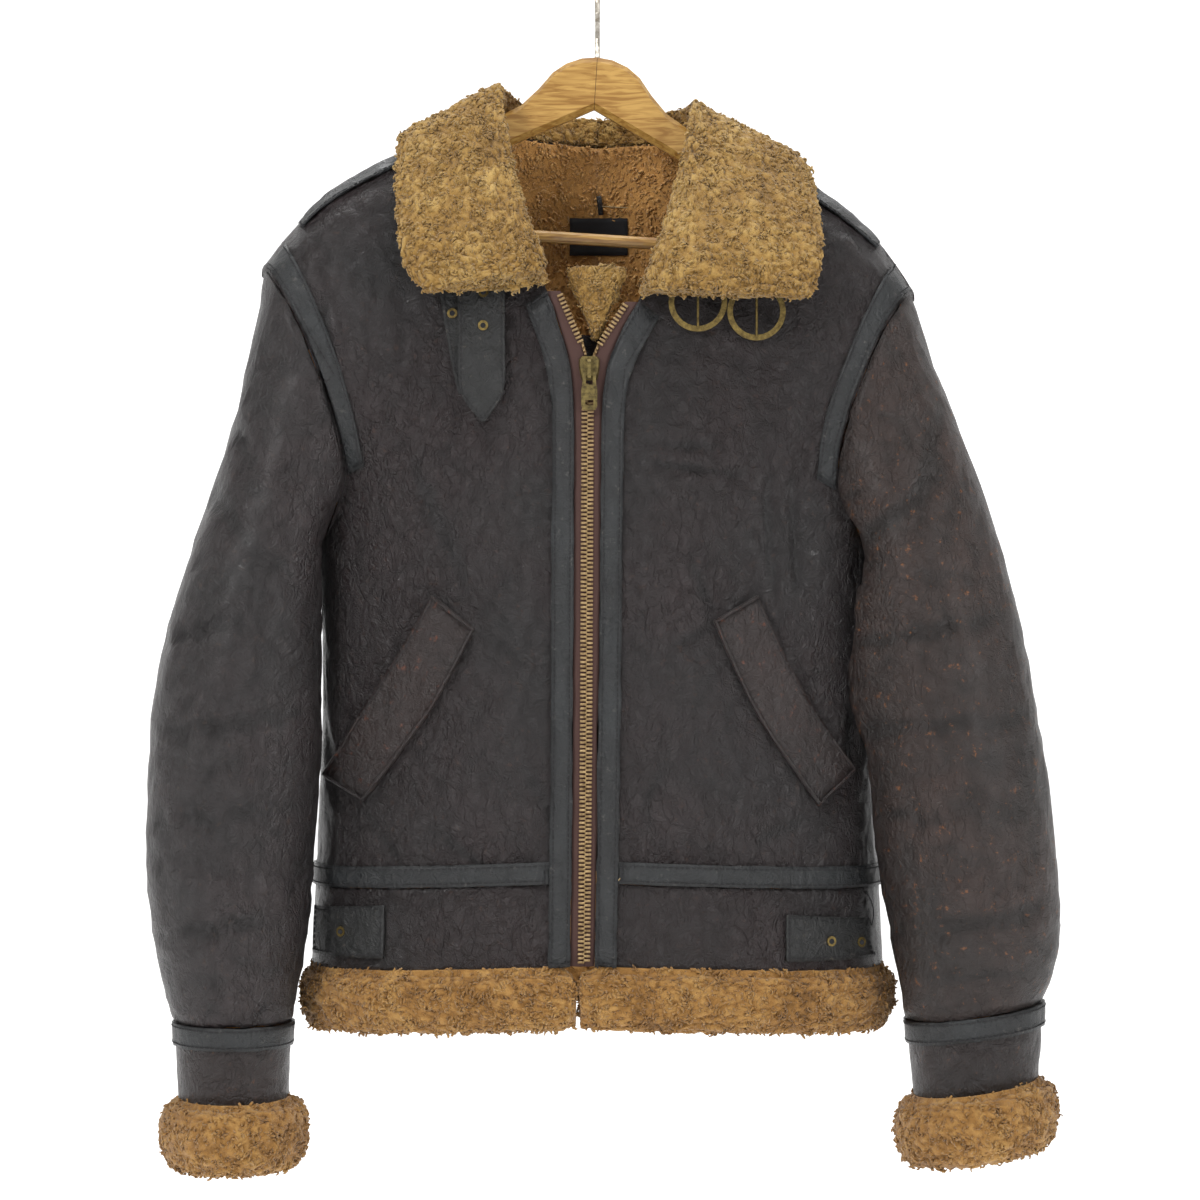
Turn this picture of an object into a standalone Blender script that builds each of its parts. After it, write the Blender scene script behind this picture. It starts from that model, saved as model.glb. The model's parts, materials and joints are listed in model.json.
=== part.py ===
"""Sheepskin flying jacket, zipped, hanging on a wooden hanger.

Every table below is in millimetres and seen from the front: X to the right, Y away from the
viewer, Z up, with the origin where a rail carries the crown of the hanger's hook. The right
shoulder hangs a little lower than the left, so each side has tables of its own.
"""
import math

import bmesh
import bpy
import numpy as np
from mathutils import Vector
from mathutils.bvhtree import BVHTree

MM = 0.001
SEAM_GAP = 0.4          # between two pieces that are sewn edge to edge
LIE_GAP = 0.5           # between a panel and what is sewn on it
SKIN_WALL = 6.0         # leather with its clipped wool
TAPE_WALL = 1.6         # leather tape over a seam
TAPE_WIDTH = 16.0
STRAP_WALL = 2.4
FUR_WALL = 14.0         # leather with long wool at the collar's edge

BODY_POWER = 2.5        # roundness of the body's horizontal sections
SHOULDER_POWER = 2.2    # roundness of the fall from shoulder ridge to chest
CHEST_Z = -330.0
BODY_Y = -5.0
RIM_STEPS = 18          # points round an armhole, sleeve or cuff
PANEL_COLUMNS = 12
ARMHOLE_SQUARE = 0.75   # below 1, the armhole is squarer than an ellipse
ARMHOLE_FOOT = -0.3     # from here down the armhole lies on the body's own curve
BACK_DRAWN = 0.65       # the armhole's back is drawn in less than its front
UNDERARM_FOLD = 2.2     # the sleeve's foot folds over the body by this much


def table(columns, rows):
    """Rows of numbers as dictionaries with named columns."""
    names = columns.split()
    return [dict(zip(names, row)) for row in rows]


# Horizontal sections of the body
BODY = table("z half_width front_depth back_depth", [
    (-830, 226, 98, 77),
    (-760, 222, 97, 75),
    (-697, 219, 96, 73),
    (-560, 213, 95, 73),
    (-447, 216, 90, 74),
    (-330, 242, 84, 74),
    (-232, 266, 80, 72),
])

# Shoulder ridge, from the middle of the neck to the top of the sleeve
RIDGE = {
    "l": table("x z", [(0, -66), (84, -102), (120, -122), (159, -144), (193, -162),
                       (217, -180), (236, -203), (258, -232)]),
    "r": table("x z", [(0, -66), (84, -115), (120, -137), (159, -161), (184, -179),
                       (202, -194), (218, -210), (233, -233), (244, -250)]),
}
RIDGE_FORWARD = 25.0    # the ridge follows the hanger, which bends forward
RIDGE_REACH = 207.0

# Front edges of the two fronts beside the zip, and the zip's own middle
ZIP = table("z left_edge middle right_edge", [
    (-759, -20.5, -10.0, -2.0),
    (-697, -19.5, -9.4, -1.0),
    (-590, -18.5, -8.4, 1.0),
    (-335, -17.5, -7.2, 3.5),
    (-303, -20.0, -6.0, 7.0),
])

# Collar stations from its front end to the middle of the back: the neck seam, the roll and the
# free edge of the fall, all on the wool side
COLLAR_COLUMNS = "seam_x seam_y seam_z roll_x roll_y roll_z edge_x edge_y edge_z"
COLLAR = {
    "l": table(COLLAR_COLUMNS, [
        (-38, -86, -254, -42, -110, -240, -128, -117, -257),
        (-42, -82, -240, -32, -110, -226, -146, -108, -238),
        (-56, -66, -205, -46, -96, -198, -152, -92, -203),
        (-70, -45, -160, -59, -70, -142, -155, -58, -160),
        (-84, -14, -102, -68, -27, -76, -155, -14, -120),
        (-80, 18, -108, -66, 15, -78, -142, 38, -138),
        (-58, 42, -118, -48, 45, -86, -98, 88, -152),
        (0, 55, -125, 0, 58, -92, 0, 95, -170),
    ]),
    "r": table(COLLAR_COLUMNS, [
        (31, -84, -262, 32, -120, -256, 158, -124, -265),
        (38, -80, -246, 30, -118, -236, 170, -116, -240),
        (56, -66, -215, 42, -100, -205, 169, -98, -205),
        (68, -45, -178, 54, -70, -155, 168, -60, -168),
        (84, -14, -115, 66, -27, -90, 162, -16, -139),
        (80, 18, -118, 66, 15, -90, 146, 38, -150),
        (58, 42, -121, 50, 45, -88, 100, 88, -156),
        (0, 55, -125, 0, 58, -92, 0, 95, -170),
    ]),
}
FRONT_STATIONS = (0, 1, 2, 3, 3.5, 4)
BACK_STATIONS = (7, 6.5, 6, 5, 4)

# Sleeve rings: outer and inner points as seen from the front, the ring's middle and half depth,
# and how far its front and back are drawn in towards the body
SLEEVE_COLUMNS = "outer_x outer_z inner_x inner_z middle_y half_depth drawn_in"
SLEEVE = {
    "l": table(SLEEVE_COLUMNS, [
        (-258, -232, -217, -447, -19, 60, 36),
        (-270, -300, -216, -466, -24, 64, 22),
        (-288, -372, -208, -490, -32, 67, 9),
        (-308, -435, -204, -520, -40, 68, 2),
        (-326, -490, -204, -552, -46, 67, 0),
        (-339, -550, -206, -595, -52, 65, 0),
        (-344, -615, -210, -645, -56, 63, 0),
        (-344, -680, -214, -700, -60, 60, 0),
        (-340, -731, -219, -745, -62, 56, 0),
        (-330, -782, -227, -786, -64, 50, 0),
        (-321, -804, -231, -805, -64, 45, 0),
    ]),
    "r": table(SLEEVE_COLUMNS, [
        (244, -250, 210, -455, -19, 60, 40),
        (262, -308, 205, -474, -26, 65, 24),
        (282, -358, 194, -494, -34, 68, 11),
        (301, -414, 181, -520, -41, 68, 4),
        (318, -470, 181, -548, -46, 67, 0),
        (330, -532, 191, -582, -52, 66, 0),
        (340, -593, 202, -625, -56, 64, 0),
        (348, -655, 207, -668, -60, 61, 0),
        (353, -715, 216, -715, -62, 58, 0),
        (352, -752, 224, -758, -64, 53, 0),
        (338, -789, 233, -804, -64, 46, 0),
    ]),
}
SLEEVE_RINGS = 14
SLEEVE_ROOM = 7.5       # between the sleeve and the body beside it
SPOKE_SHARES = (0.5, 0.3)       # how far the first rings' walls point at the ring's middle
ARMHOLE_LEAN_REACH = 1.8        # rows over which the sleeve takes up the armhole's lean

# Cuff rings below the sleeve
CUFF = {
    "l": table("outer_x outer_z inner_x inner_z", [
        (-321, -804, -231, -805), (-320, -821, -232, -822), (-318, -862, -233, -862)]),
    "r": table("outer_x outer_z inner_x inner_z", [
        (338, -789, 233, -804), (338, -806, 235, -821), (335, -846, 239, -861)]),
}
CUFF_MIDDLE_Y = -64.0
CUFF_HALF_DEPTH = 45.0
# Section of the wool roll at the cuff: distance from the cuff's skin, and down from its end
CUFF_FUR = table("out down", [
    (-9, 0.5), (2, 0.5), (11, 3), (17, 14), (17, 34), (11, 50), (0, 56), (-9, 51), (-14, 36),
    (-14, 14)])

WAIST_Z = -697.0
HEM_Z = -759.0
SIDE_DIP = 8.0          # waist seam and hem hang lower at the side seams
HEM_MEET = {"l": -15.6, "r": -13.6}  # front ends of the hem's wool, closed under the zip
# Section of the wool at the hem, in the same way
HEM_FUR = table("out down", [
    (-7, 0.5), (1, 0.5), (8, 7), (11, 20), (10, 37), (4, 48), (-6, 51), (-13, 41), (-14, 20)])

# The largest folds of each panel: a soft trough from one point to another
FOLD_COLUMNS = "x0 z0 x1 z1 width depth"
FOLDS = {
    "front_l": table(FOLD_COLUMNS, [
        (-196, -300, -190, -420, 16, 5), (-150, -640, -95, -560, 18, 3),
        (-190, -560, -130, -520, 16, 3), (-60, -330, -110, -420, 20, 2.5)]),
    "front_r": table(FOLD_COLUMNS, [
        (152, -380, 158, -470, 14, 4), (128, -400, 126, -480, 13, 3),
        (30, -370, 90, -385, 14, 2.5), (175, -600, 120, -540, 18, 3)]),
    "back_l": table(FOLD_COLUMNS, [
        (-190, -300, -180, -430, 18, 5), (-120, -640, -40, -600, 22, 3)]),
    "back_r": table(FOLD_COLUMNS, [
        (182, -310, 176, -430, 18, 5), (130, -600, 60, -630, 22, 3)]),
    "sleeve_l": table(FOLD_COLUMNS, [
        (-335, -620, -230, -640, 14, 3), (-330, -702, -225, -690, 13, 3),
        (-325, -748, -240, -756, 12, 2.5), (-300, -640, -250, -560, 16, 3),
        (-300, -800, -296, -770, 8, 4), (-252, -800, -258, -765, 8, 4)]),
    "sleeve_r": table(FOLD_COLUMNS, [
        (235, -640, 330, -618, 14, 3), (240, -690, 345, -702, 13, 3),
        (250, -745, 340, -738, 12, 2.5), (262, -650, 300, -560, 16, 3),
        (305, -790, 305, -735, 8, 4), (272, -795, 272, -765, 8, 4)]),
}

# Hanger: half of the yoke as a front view, before its tilt
YOKE = table("x top bottom", [
    (0, -62.7, -103.5), (12, -64.2, -109.6), (24, -69.1, -115.7), (34, -76.8, -120.8),
    (44, -90.0, -125.9), (57, -104.0, -132.5), (80, -118.2, -145.6), (110, -136.7, -163.3),
    (145, -158.3, -183.9), (180, -179.8, -204.6), (193, -190.0, -211.5), (199, -198.5, -209.0)])
YOKE_THICK = 14.0
YOKE_ROUND = 4.5
YOKE_TILT = math.radians(3.6)
BAR_RADIUS = 4.7
BAR_REACH = 175.5       # its ends are seated under the yoke's ends
BAR_DROP = -207.0
BAR_Y = -19.0
HOOK_WIRE = 2.0
HOOK_RADIUS = 22.0

COLOURS = {
    "leather": ((0.045, 0.034, 0.034), 0.45, 0.0),
    "tape": ((0.034, 0.042, 0.048), 0.50, 0.0),
    "fur": ((0.46, 0.27, 0.09), 0.95, 0.0),
    "zip_tape": ((0.10, 0.045, 0.037), 0.85, 0.0),
    "brass": ((0.28, 0.21, 0.08), 0.35, 1.0),
    "wood": ((0.56, 0.34, 0.10), 0.40, 0.0),
    "wire": ((0.60, 0.60, 0.60), 0.25, 1.0),
    "label": ((0.006, 0.006, 0.008), 0.80, 0.0),
}
SIDES = {"l": -1, "r": 1}
FACES = {"front": -1, "back": 1}


def clear_scene():
    for item in list(bpy.data.objects):
        bpy.data.objects.remove(item, do_unlink=True)


def material(name):
    if name in bpy.data.materials:
        return bpy.data.materials[name]
    colour, roughness, metallic = COLOURS[name]
    made = bpy.data.materials.new(name)
    made.use_nodes = True
    shader = made.node_tree.nodes["Principled BSDF"]
    shader.inputs["Base Color"].default_value = (*colour, 1.0)
    shader.inputs["Roughness"].default_value = roughness
    shader.inputs["Metallic"].default_value = metallic
    made.diffuse_color = (*colour, 1.0)
    return made


def add_solid(name, shape, finish):
    """Turn a bmesh in millimetres into an object in metres with its faces pointing out.

    Each bent quad is split on its shorter diagonal, so neighbours that share points bend alike.
    """
    quads = [face for face in shape.faces if len(face.verts) == 4]
    bmesh.ops.triangulate(shape, faces=quads, quad_method="SHORT_EDGE")
    bmesh.ops.recalc_face_normals(shape, faces=shape.faces)
    if shape.calc_volume(signed=True) < 0:
        bmesh.ops.reverse_faces(shape, faces=shape.faces)
    bmesh.ops.scale(shape, vec=(MM, MM, MM), verts=shape.verts)
    mesh = bpy.data.meshes.new(name)
    shape.to_mesh(mesh)
    shape.free()
    mesh.shade_smooth()
    mesh.set_sharp_from_angle(angle=math.radians(40))
    made = bpy.data.objects.new(name, mesh)
    mesh.materials.append(material(finish))
    bpy.context.collection.objects.link(made)
    return made


def smoothstep(low, high, value):
    share = min(1.0, max(0.0, (value - low) / (high - low)))
    return share * share * (3 - 2 * share)


def read(rows, key, column, value):
    """Read one column of a table at a value of its key column."""
    keys = [row[key] for row in rows]
    values = [row[column] for row in rows]
    if keys[0] > keys[-1]:
        keys, values = keys[::-1], values[::-1]
    return float(np.interp(value, keys, values))


def smooth_read(rows, column, place):
    """Read a column at a fractional row, along a curve through the rows."""
    last = len(rows) - 1
    first = min(int(place), last - 1)
    share = place - first
    near = [rows[min(max(first + step, 0), last)][column] for step in (-1, 0, 1, 2)]
    if first == 0:
        near[0] = 2 * near[1] - near[2]
    if first == last - 1:
        near[3] = 2 * near[2] - near[1]
    a, b, c, d = near
    return 0.5 * (2 * b + (c - a) * share + (2 * a - 5 * b + 4 * c - d) * share ** 2
                  + (3 * b - a - 3 * c + d) * share ** 3)


def body_y(side, face, x, z):
    """Depth of the body's skin behind or before its side seams."""
    depth_column = "front_depth" if face == "front" else "back_depth"
    across = min(1.0, abs(x) / read(BODY, "z", "half_width", z))
    round_side = (1 - across ** BODY_POWER) ** (1 / BODY_POWER)
    ridge_z = read(RIDGE[side], "x", "z", abs(x))
    rise = min(1.0, max(0.0, (z - CHEST_Z) / (ridge_z - CHEST_Z)))
    round_top = (1 - rise ** SHOULDER_POWER) ** (1 / SHOULDER_POWER)
    middle = BODY_Y + rise * (ridge_y(x) - BODY_Y)
    return middle + FACES[face] * read(BODY, "z", depth_column, z) * round_side * round_top


def ridge_y(x):
    return -RIDGE_FORWARD * (x / RIDGE_REACH) ** 2


def fold_depth(folds, x, z):
    """How far the folds of a panel sink it at a point."""
    sunk = 0.0
    for fold in folds:
        start = np.array((fold["x0"], fold["z0"]))
        along = np.array((fold["x1"], fold["z1"])) - start
        place = np.array((x, z)) - start
        share = min(1.0, max(0.0, float(place @ along) / float(along @ along)))
        away = np.linalg.norm(place - share * along) / fold["width"]
        sunk += fold["depth"] * math.exp(-2 * away * away)
    return sunk


# Rims, which neighbouring pieces share point by point

def rim_angle(step):
    return 2 * math.pi * step / RIM_STEPS


def ring_point(row, angle):
    """A point of a sleeve ring: angle 0 is its outer side, a quarter turn on is its front."""
    middle_x = (row["outer_x"] + row["inner_x"]) / 2
    middle_z = (row["outer_z"] + row["inner_z"]) / 2
    half_x = (row["outer_x"] - row["inner_x"]) / 2
    half_z = (row["outer_z"] - row["inner_z"]) / 2
    to_body = -1 if row["outer_x"] > 0 else 1
    drawn = row["drawn_in"] * abs(math.sin(angle)) * (1 - 0.3 * math.cos(angle))
    drawn *= 1.0 if math.sin(angle) > 0 else BACK_DRAWN
    return np.array((middle_x + math.cos(angle) * half_x + to_body * drawn,
                     row["middle_y"] - math.sin(angle) * row["half_depth"],
                     middle_z + math.cos(angle) * half_z))


def armhole(side, step):
    """A point of the armhole seam, with the top forward on the ridge and the foot at the side."""
    row = SLEEVE[side][0]
    angle = rim_angle(step)
    point = ring_point(row, angle)
    top_y = ridge_y(row["outer_x"])
    lean = (top_y - BODY_Y) / 2
    swing = math.copysign(abs(math.sin(angle)) ** ARMHOLE_SQUARE, math.sin(angle))
    point[1] = (top_y + BODY_Y) / 2 + math.cos(angle) * lean - swing * row["half_depth"]
    if math.cos(angle) < ARMHOLE_FOOT:
        point = clear_of_body(point, 0.0)
    return point


def armhole_inward(step):
    angle = rim_angle(step)
    return np.array((0.0, math.sin(angle), -math.cos(angle)))


def neck_seam(side, station):
    rows = COLLAR[side]
    return np.array([smooth_read(rows, "seam_" + axis, station) for axis in "xyz"])


# Walls

def grid_normals(points, outward):
    along_rows = np.gradient(points, axis=0)
    along_columns = np.gradient(points, axis=1)
    normals = np.cross(along_rows, along_columns)
    normals /= np.maximum(np.linalg.norm(normals, axis=2, keepdims=True), 1e-9)
    middle = normals[points.shape[0] // 2, points.shape[1] // 2]
    return normals if float(middle @ np.array(outward)) > 0 else -normals


def wall(name, outer, inner, finish, closed=False):
    """A closed solid between an outer and an inner grid of points."""
    rows, columns = outer.shape[:2]
    shape = bmesh.new()
    skins = [[[shape.verts.new(point) for point in row] for row in grid] for grid in (outer, inner)]
    spans = columns if closed else columns - 1
    for skin in skins:
        for i in range(rows - 1):
            for j in range(spans):
                k = (j + 1) % columns
                shape.faces.new((skin[i][j], skin[i][k], skin[i + 1][k], skin[i + 1][j]))
    out, back = skins
    for j in range(spans):
        k = (j + 1) % columns
        for i in (0, rows - 1):
            shape.faces.new((out[i][j], out[i][k], back[i][k], back[i][j]))
    if not closed:
        for i in range(rows - 1):
            for j in (0, columns - 1):
                shape.faces.new((out[i][j], out[i + 1][j], back[i + 1][j], back[i][j]))
    return add_solid(name, shape, finish)


def loft(name, sections, finish, closed=False):
    """A solid through closed sections, capped at both ends unless it closes on itself."""
    shape = bmesh.new()
    loops = [[shape.verts.new(point) for point in section] for section in sections]
    count = len(loops[0])
    spans = len(loops) if closed else len(loops) - 1
    for i in range(spans):
        near, far = loops[i], loops[(i + 1) % len(loops)]
        for j in range(count):
            k = (j + 1) % count
            shape.faces.new((near[j], near[k], far[k], far[j]))
    if not closed:
        shape.faces.new(loops[0])
        shape.faces.new(loops[-1])
    return add_solid(name, shape, finish)


# Body panels

def column_shares(length, first_width):
    """Columns across a panel, closer at its rounded side, the first as wide as the tape."""
    shares = [math.sin(math.pi / 2 * j / (PANEL_COLUMNS - 1)) for j in range(PANEL_COLUMNS)]
    if first_width:
        shares[1] = first_width / length
    return shares


def front_edge_x(side, z):
    return read(ZIP, "z", "left_edge" if side == "l" else "right_edge", z)


LOWER_ROWS = table("edge_z side_z", [
    (WAIST_Z, WAIST_Z - SIDE_DIP), (WAIST_Z + TAPE_WIDTH, WAIST_Z + TAPE_WIDTH - SIDE_DIP),
    (-636, -640), (-582, -590),
    (-528, -543), (-476, -496)])
FRONT_EDGE_ROWS = (-428, -384, -342, -303)
BACK_EDGE_ROWS = (-420, -360, -290, -220, -165)


def panel_borders(side, face):
    """Middle and side points of each row of a panel, from the waist seam to the shoulder."""
    sign = SIDES[side]
    borders = []
    for row in LOWER_ROWS:
        edge_x = front_edge_x(side, row["edge_z"]) if face == "front" else 0.0
        half = sign * read(BODY, "z", "half_width", row["side_z"])
        borders.append((np.array((edge_x, body_y(side, face, edge_x, row["edge_z"]), row["edge_z"])),
                        np.array((half, BODY_Y, row["side_z"]))))
    edge_rows = FRONT_EDGE_ROWS if face == "front" else BACK_EDGE_ROWS
    stations = FRONT_STATIONS if face == "front" else BACK_STATIONS
    steps = list(range(RIM_STEPS // 2, -1, -1))
    for index, step in enumerate(steps):
        if index < len(edge_rows):
            z = edge_rows[index]
            edge_x = front_edge_x(side, z) if face == "front" else 0.0
            middle = np.array((edge_x, body_y(side, face, edge_x, z), z))
        else:
            middle = neck_seam(side, stations[index - len(edge_rows)])
        rim_step = step if face == "front" else -step
        borders.append((middle, armhole(side, rim_step)))
    return borders


def row_point(side, face, row, top, share, lift):
    """A point between the borders of a row, on the body's curve but true to both borders."""
    middle, outer = row
    x = middle[0] + (outer[0] - middle[0]) * share
    z = middle[2] + (outer[2] - middle[2]) * share
    chord = top[0][2] + (top[1][2] - top[0][2]) * share
    top_x = top[0][0] + (top[1][0] - top[0][0]) * share
    z += lift * (read(RIDGE[side], "x", "z", abs(top_x)) - chord)
    y = body_y(side, face, x, z)
    y += (1 - share) ** 3 * (middle[1] - body_y(side, face, middle[0], middle[2]))
    y += share ** 5 * (outer[1] - body_y(side, face, outer[0], outer[2]))
    if lift == 1:
        y = ridge_y(x) + (1 - share) ** 3 * (middle[1] - ridge_y(middle[0]))
    return np.array((x, y, z))


def panel_points(side, face):
    borders = panel_borders(side, face)
    top = borders[-1]
    lift_rows = len(FRONT_STATIONS)
    points = []
    for index, row in enumerate(borders):
        lift = max(0.0, 1 - (len(borders) - 1 - index) / lift_rows) ** 1.5
        length = abs(row[1][0] - row[0][0])
        shares = column_shares(length, TAPE_WIDTH if face == "front" else 0)
        points.append([row_point(side, face, row, top, share, lift) for share in shares])
    return np.array(points)


def panel(side, face):
    """Outer and inner points of a front or back, with its seam allowances taken off."""
    sign = SIDES[side]
    outer = panel_points(side, face)
    normals = grid_normals(outer, (0, FACES[face], 0))
    if face == "back":
        middle = normals[:len(LOWER_ROWS) + len(BACK_EDGE_ROWS) + 1, 0]
        middle[:, 0] = 0
        middle /= np.linalg.norm(middle, axis=1, keepdims=True)
    folds = FOLDS[f"{face}_{side}"]
    for i in range(1, outer.shape[0] - 1):
        for j in range(1, outer.shape[1] - 1):
            outer[i, j] -= normals[i, j] * fold_depth(folds, outer[i, j][0], outer[i, j][2])
    inner = outer - SKIN_WALL * normals
    lower = len(LOWER_ROWS)
    for i in range(outer.shape[0]):
        if i < lower:
            inward = np.array((-sign, 0.0, 0.0))
            inner[i, -1] = outer[i, -1] + SKIN_WALL * inward
        else:
            step = RIM_STEPS // 2 - (i - lower)
            inward = armhole_inward(step if face == "front" else -step)
            if i == lower:
                inward = (inward + np.array((-sign, 0.0, 0.0))) / math.sqrt(2)
            inner[i, -1] = outer[i, -1] + SKIN_WALL * inward
    down = np.array((0.0, 0.0, -1.0))
    inner[-1] = outer[-1] + SKIN_WALL * down
    for row, share in ((-2, 0.7), (-3, 0.35)):
        bend = share * down - (1 - share) * normals[row, 0]
        inner[row, 0] = outer[row, 0] + SKIN_WALL * bend / np.linalg.norm(bend)
    seam_shift = np.array((0.0, FACES[face] * SEAM_GAP / 2, 0.0))
    for grid in (outer, inner):
        grid[:lower + 1, -1] += seam_shift
        grid[lower:, -1, 0] -= sign * SEAM_GAP / 2
        grid[-1] += seam_shift
        if face == "back":
            grid[:lower + len(BACK_EDGE_ROWS) + 1, 0, 0] += sign * SEAM_GAP / 2
    return outer, inner


def band_points(side, face, heights, first_width=0.0):
    """Points of a band round the body at the given heights."""
    sign = SIDES[side]
    points = []
    for z in heights:
        start = front_edge_x(side, z) if face == "front" else sign * SEAM_GAP / 2
        half = sign * read(BODY, "z", "half_width", z - SIDE_DIP)
        row = []
        for share in column_shares(abs(half - start), first_width):
            x, low = start + (half - start) * share, z - SIDE_DIP * share
            row.append(np.array((x, body_y(side, face, x, low), low)))
        points.append(row)
    points = np.array(points)
    points[:, -1, 1] = BODY_Y
    return points


def band_normals(points, face, sign):
    """Level normals of a band, square to the side seam at its last column."""
    normals = grid_normals(points, (0, FACES[face], 0))
    normals[:, :, 2] = 0
    normals[:, -1] = (sign, 0, 0)
    if face == "back":
        normals[:, 0] = (0, 1, 0)
    return normals / np.linalg.norm(normals, axis=2, keepdims=True)


def open_side(points, face):
    points[:, -1, 1] += FACES[face] * SEAM_GAP / 2
    return points


def waist_rows():
    return (HEM_Z, (HEM_Z + WAIST_Z) / 2, WAIST_Z - SEAM_GAP)


def waistband(side, face):
    points = band_points(side, face, waist_rows(), first_width=TAPE_WIDTH if face == "front" else 0)
    normals = band_normals(points, face, SIDES[side])
    inner = points - SKIN_WALL * normals
    return open_side(points, face), open_side(inner, face)


def tape_on(name, points, normals, finish="tape", thick=TAPE_WALL, lift=LIE_GAP):
    """A thin piece laid on points of a panel, moved out along its normals."""
    return wall(name, points + (lift + thick) * normals, points + lift * normals, finish)


def fur_band(points, normals, section):
    """Closed sections of wool along a band's lower edge."""
    return [[point + normal * row["out"] - np.array((0, 0, row["down"])) for row in section]
            for point, normal in zip(points, normals)]


def mirror_join(left, right):
    """One row of points from the left side seam over the middle to the right one."""
    middle = (left[..., :1, :] + right[..., :1, :]) / 2
    return np.concatenate((left[..., :0:-1, :], middle, right[..., 1:, :]), axis=-2)


def build_body():
    """Fronts, backs, waistband and hem wool. The outer grids are kept for what lies on them."""
    skins = {}
    for face in FACES:
        for side in SIDES:
            outer, inner = panel(side, face)
            wall(f"{face}_{side}", outer, inner, "leather")
            skins[face, side] = outer
    for side, sign in SIDES.items():
        outer, inner = waistband(side, "front")
        wall(f"waistband_front_{side}", outer, inner, "leather")
        skins["waist", side] = outer
        edge = band_points(side, "front", (HEM_Z, HEM_Z - 1))
        normals = band_normals(edge, "front", sign)
        edge = open_side(edge, "front")[0]
        edge[0, 0] = HEM_MEET[side]
        loft(f"hem_fur_{side}", fur_band(edge, normals[0], HEM_FUR), "fur")
    back = [waistband(side, "back") for side in SIDES]
    wall("waistband_back", mirror_join(back[0][0], back[1][0]), mirror_join(back[0][1], back[1][1]),
         "leather")
    skins["waist", "back"] = mirror_join(back[0][0], back[1][0])
    edges = [band_points(side, "back", (HEM_Z, HEM_Z - 1)) for side in SIDES]
    normals = [band_normals(edge, "back", sign) for edge, sign in zip(edges, SIDES.values())]
    edge = mirror_join(*(open_side(edge, "back") for edge in edges))
    loft("hem_fur_back", fur_band(edge[0], mirror_join(*normals)[0], HEM_FUR), "fur")
    return skins


# Tapes over the seams

def build_tapes(skins):
    lower = len(LOWER_ROWS)
    neck_row = lower + len(FRONT_EDGE_ROWS)
    for side, sign in SIDES.items():
        front, waist, back = skins["front", side], skins["waist", side], skins["back", side]
        front_normals = grid_normals(front, (0, -1, 0))
        waist_normals = grid_normals(waist, (0, -1, 0))
        back_normals = grid_normals(back, (0, 1, 0))
        strip = np.concatenate((waist[:, :2], front[1:neck_row + 1, :2]))
        strip_normals = np.concatenate((waist_normals[:, :2], front_normals[1:neck_row + 1, :2]))
        tape_on(f"placket_tape_{side}", strip, strip_normals)
        belt = front[:2, 1:].copy()
        belt[:, 0, 0] += sign * 2 * SEAM_GAP
        tape_on(f"waist_tape_{side}", belt, front_normals[:2, 1:])
        strip = slice(-4, -1)
        foot = lower + 3
        rim = np.concatenate((front[foot:, strip], back[foot:-1, strip][::-1]))
        rim_normals = np.concatenate((front_normals[foot:, strip],
                                      back_normals[foot:-1, strip][::-1]))
        ridge_row = front.shape[0] - 1 - foot
        rim[ridge_row] = (front[-1, strip] + back[-1, strip]) / 2
        rim_normals[ridge_row] = (0, 0, 1)
        tape_on(f"armhole_tape_{side}", rim, rim_normals)
        last = front.shape[1] - 4
        ridge = (front[-1, :last] + back[-1, :last]) / 2
        slopes = [ridge + 0.45 * (grid[-2, :last] - ridge) for grid in (front, back)]
        shoulder = np.array((slopes[0], ridge, slopes[1]))
        up = np.zeros_like(shoulder)
        up[..., 2] = 1
        up[0, :, 1], up[2, :, 1] = -0.6, 0.6
        up /= np.linalg.norm(up, axis=2, keepdims=True)
        tape_on(f"shoulder_tape_{side}", shoulder[:, 2:], up[:, 2:], lift=2 * LIE_GAP)
    belts = [skins["back", side][:2] for side in SIDES]
    normals = [grid_normals(belt, (0, 1, 0)) for belt in belts]
    tape_on("waist_tape_back", mirror_join(*belts), mirror_join(*normals))


# Sleeves and cuffs

def body_out(point):
    """The level direction out of the body's section at a point."""
    x, y, z = point
    depth = read(BODY, "z", "front_depth" if y < BODY_Y else "back_depth", z)
    half = read(BODY, "z", "half_width", z)
    power = BODY_POWER - 1
    out = np.array((math.copysign(abs(x) ** power / half ** BODY_POWER, x),
                    math.copysign(abs(y - BODY_Y) ** power / depth ** BODY_POWER, y - BODY_Y), 0.0))
    return out / np.linalg.norm(out)


def clear_of_body(point, room):
    """Push a point level out of the body's section until it has room."""
    x, y, z = point
    face = "front" if y < BODY_Y else "back"
    half = read(BODY, "z", "half_width", z) + room
    column = "front_depth" if face == "front" else "back_depth"
    depth = read(BODY, "z", column, z) + room
    filled = (abs(x) / half) ** BODY_POWER + (abs(y - BODY_Y) / depth) ** BODY_POWER
    if filled >= 1:
        return point
    grow = filled ** (-1 / BODY_POWER)
    return np.array((x * grow, BODY_Y + (y - BODY_Y) * grow, z))


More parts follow.
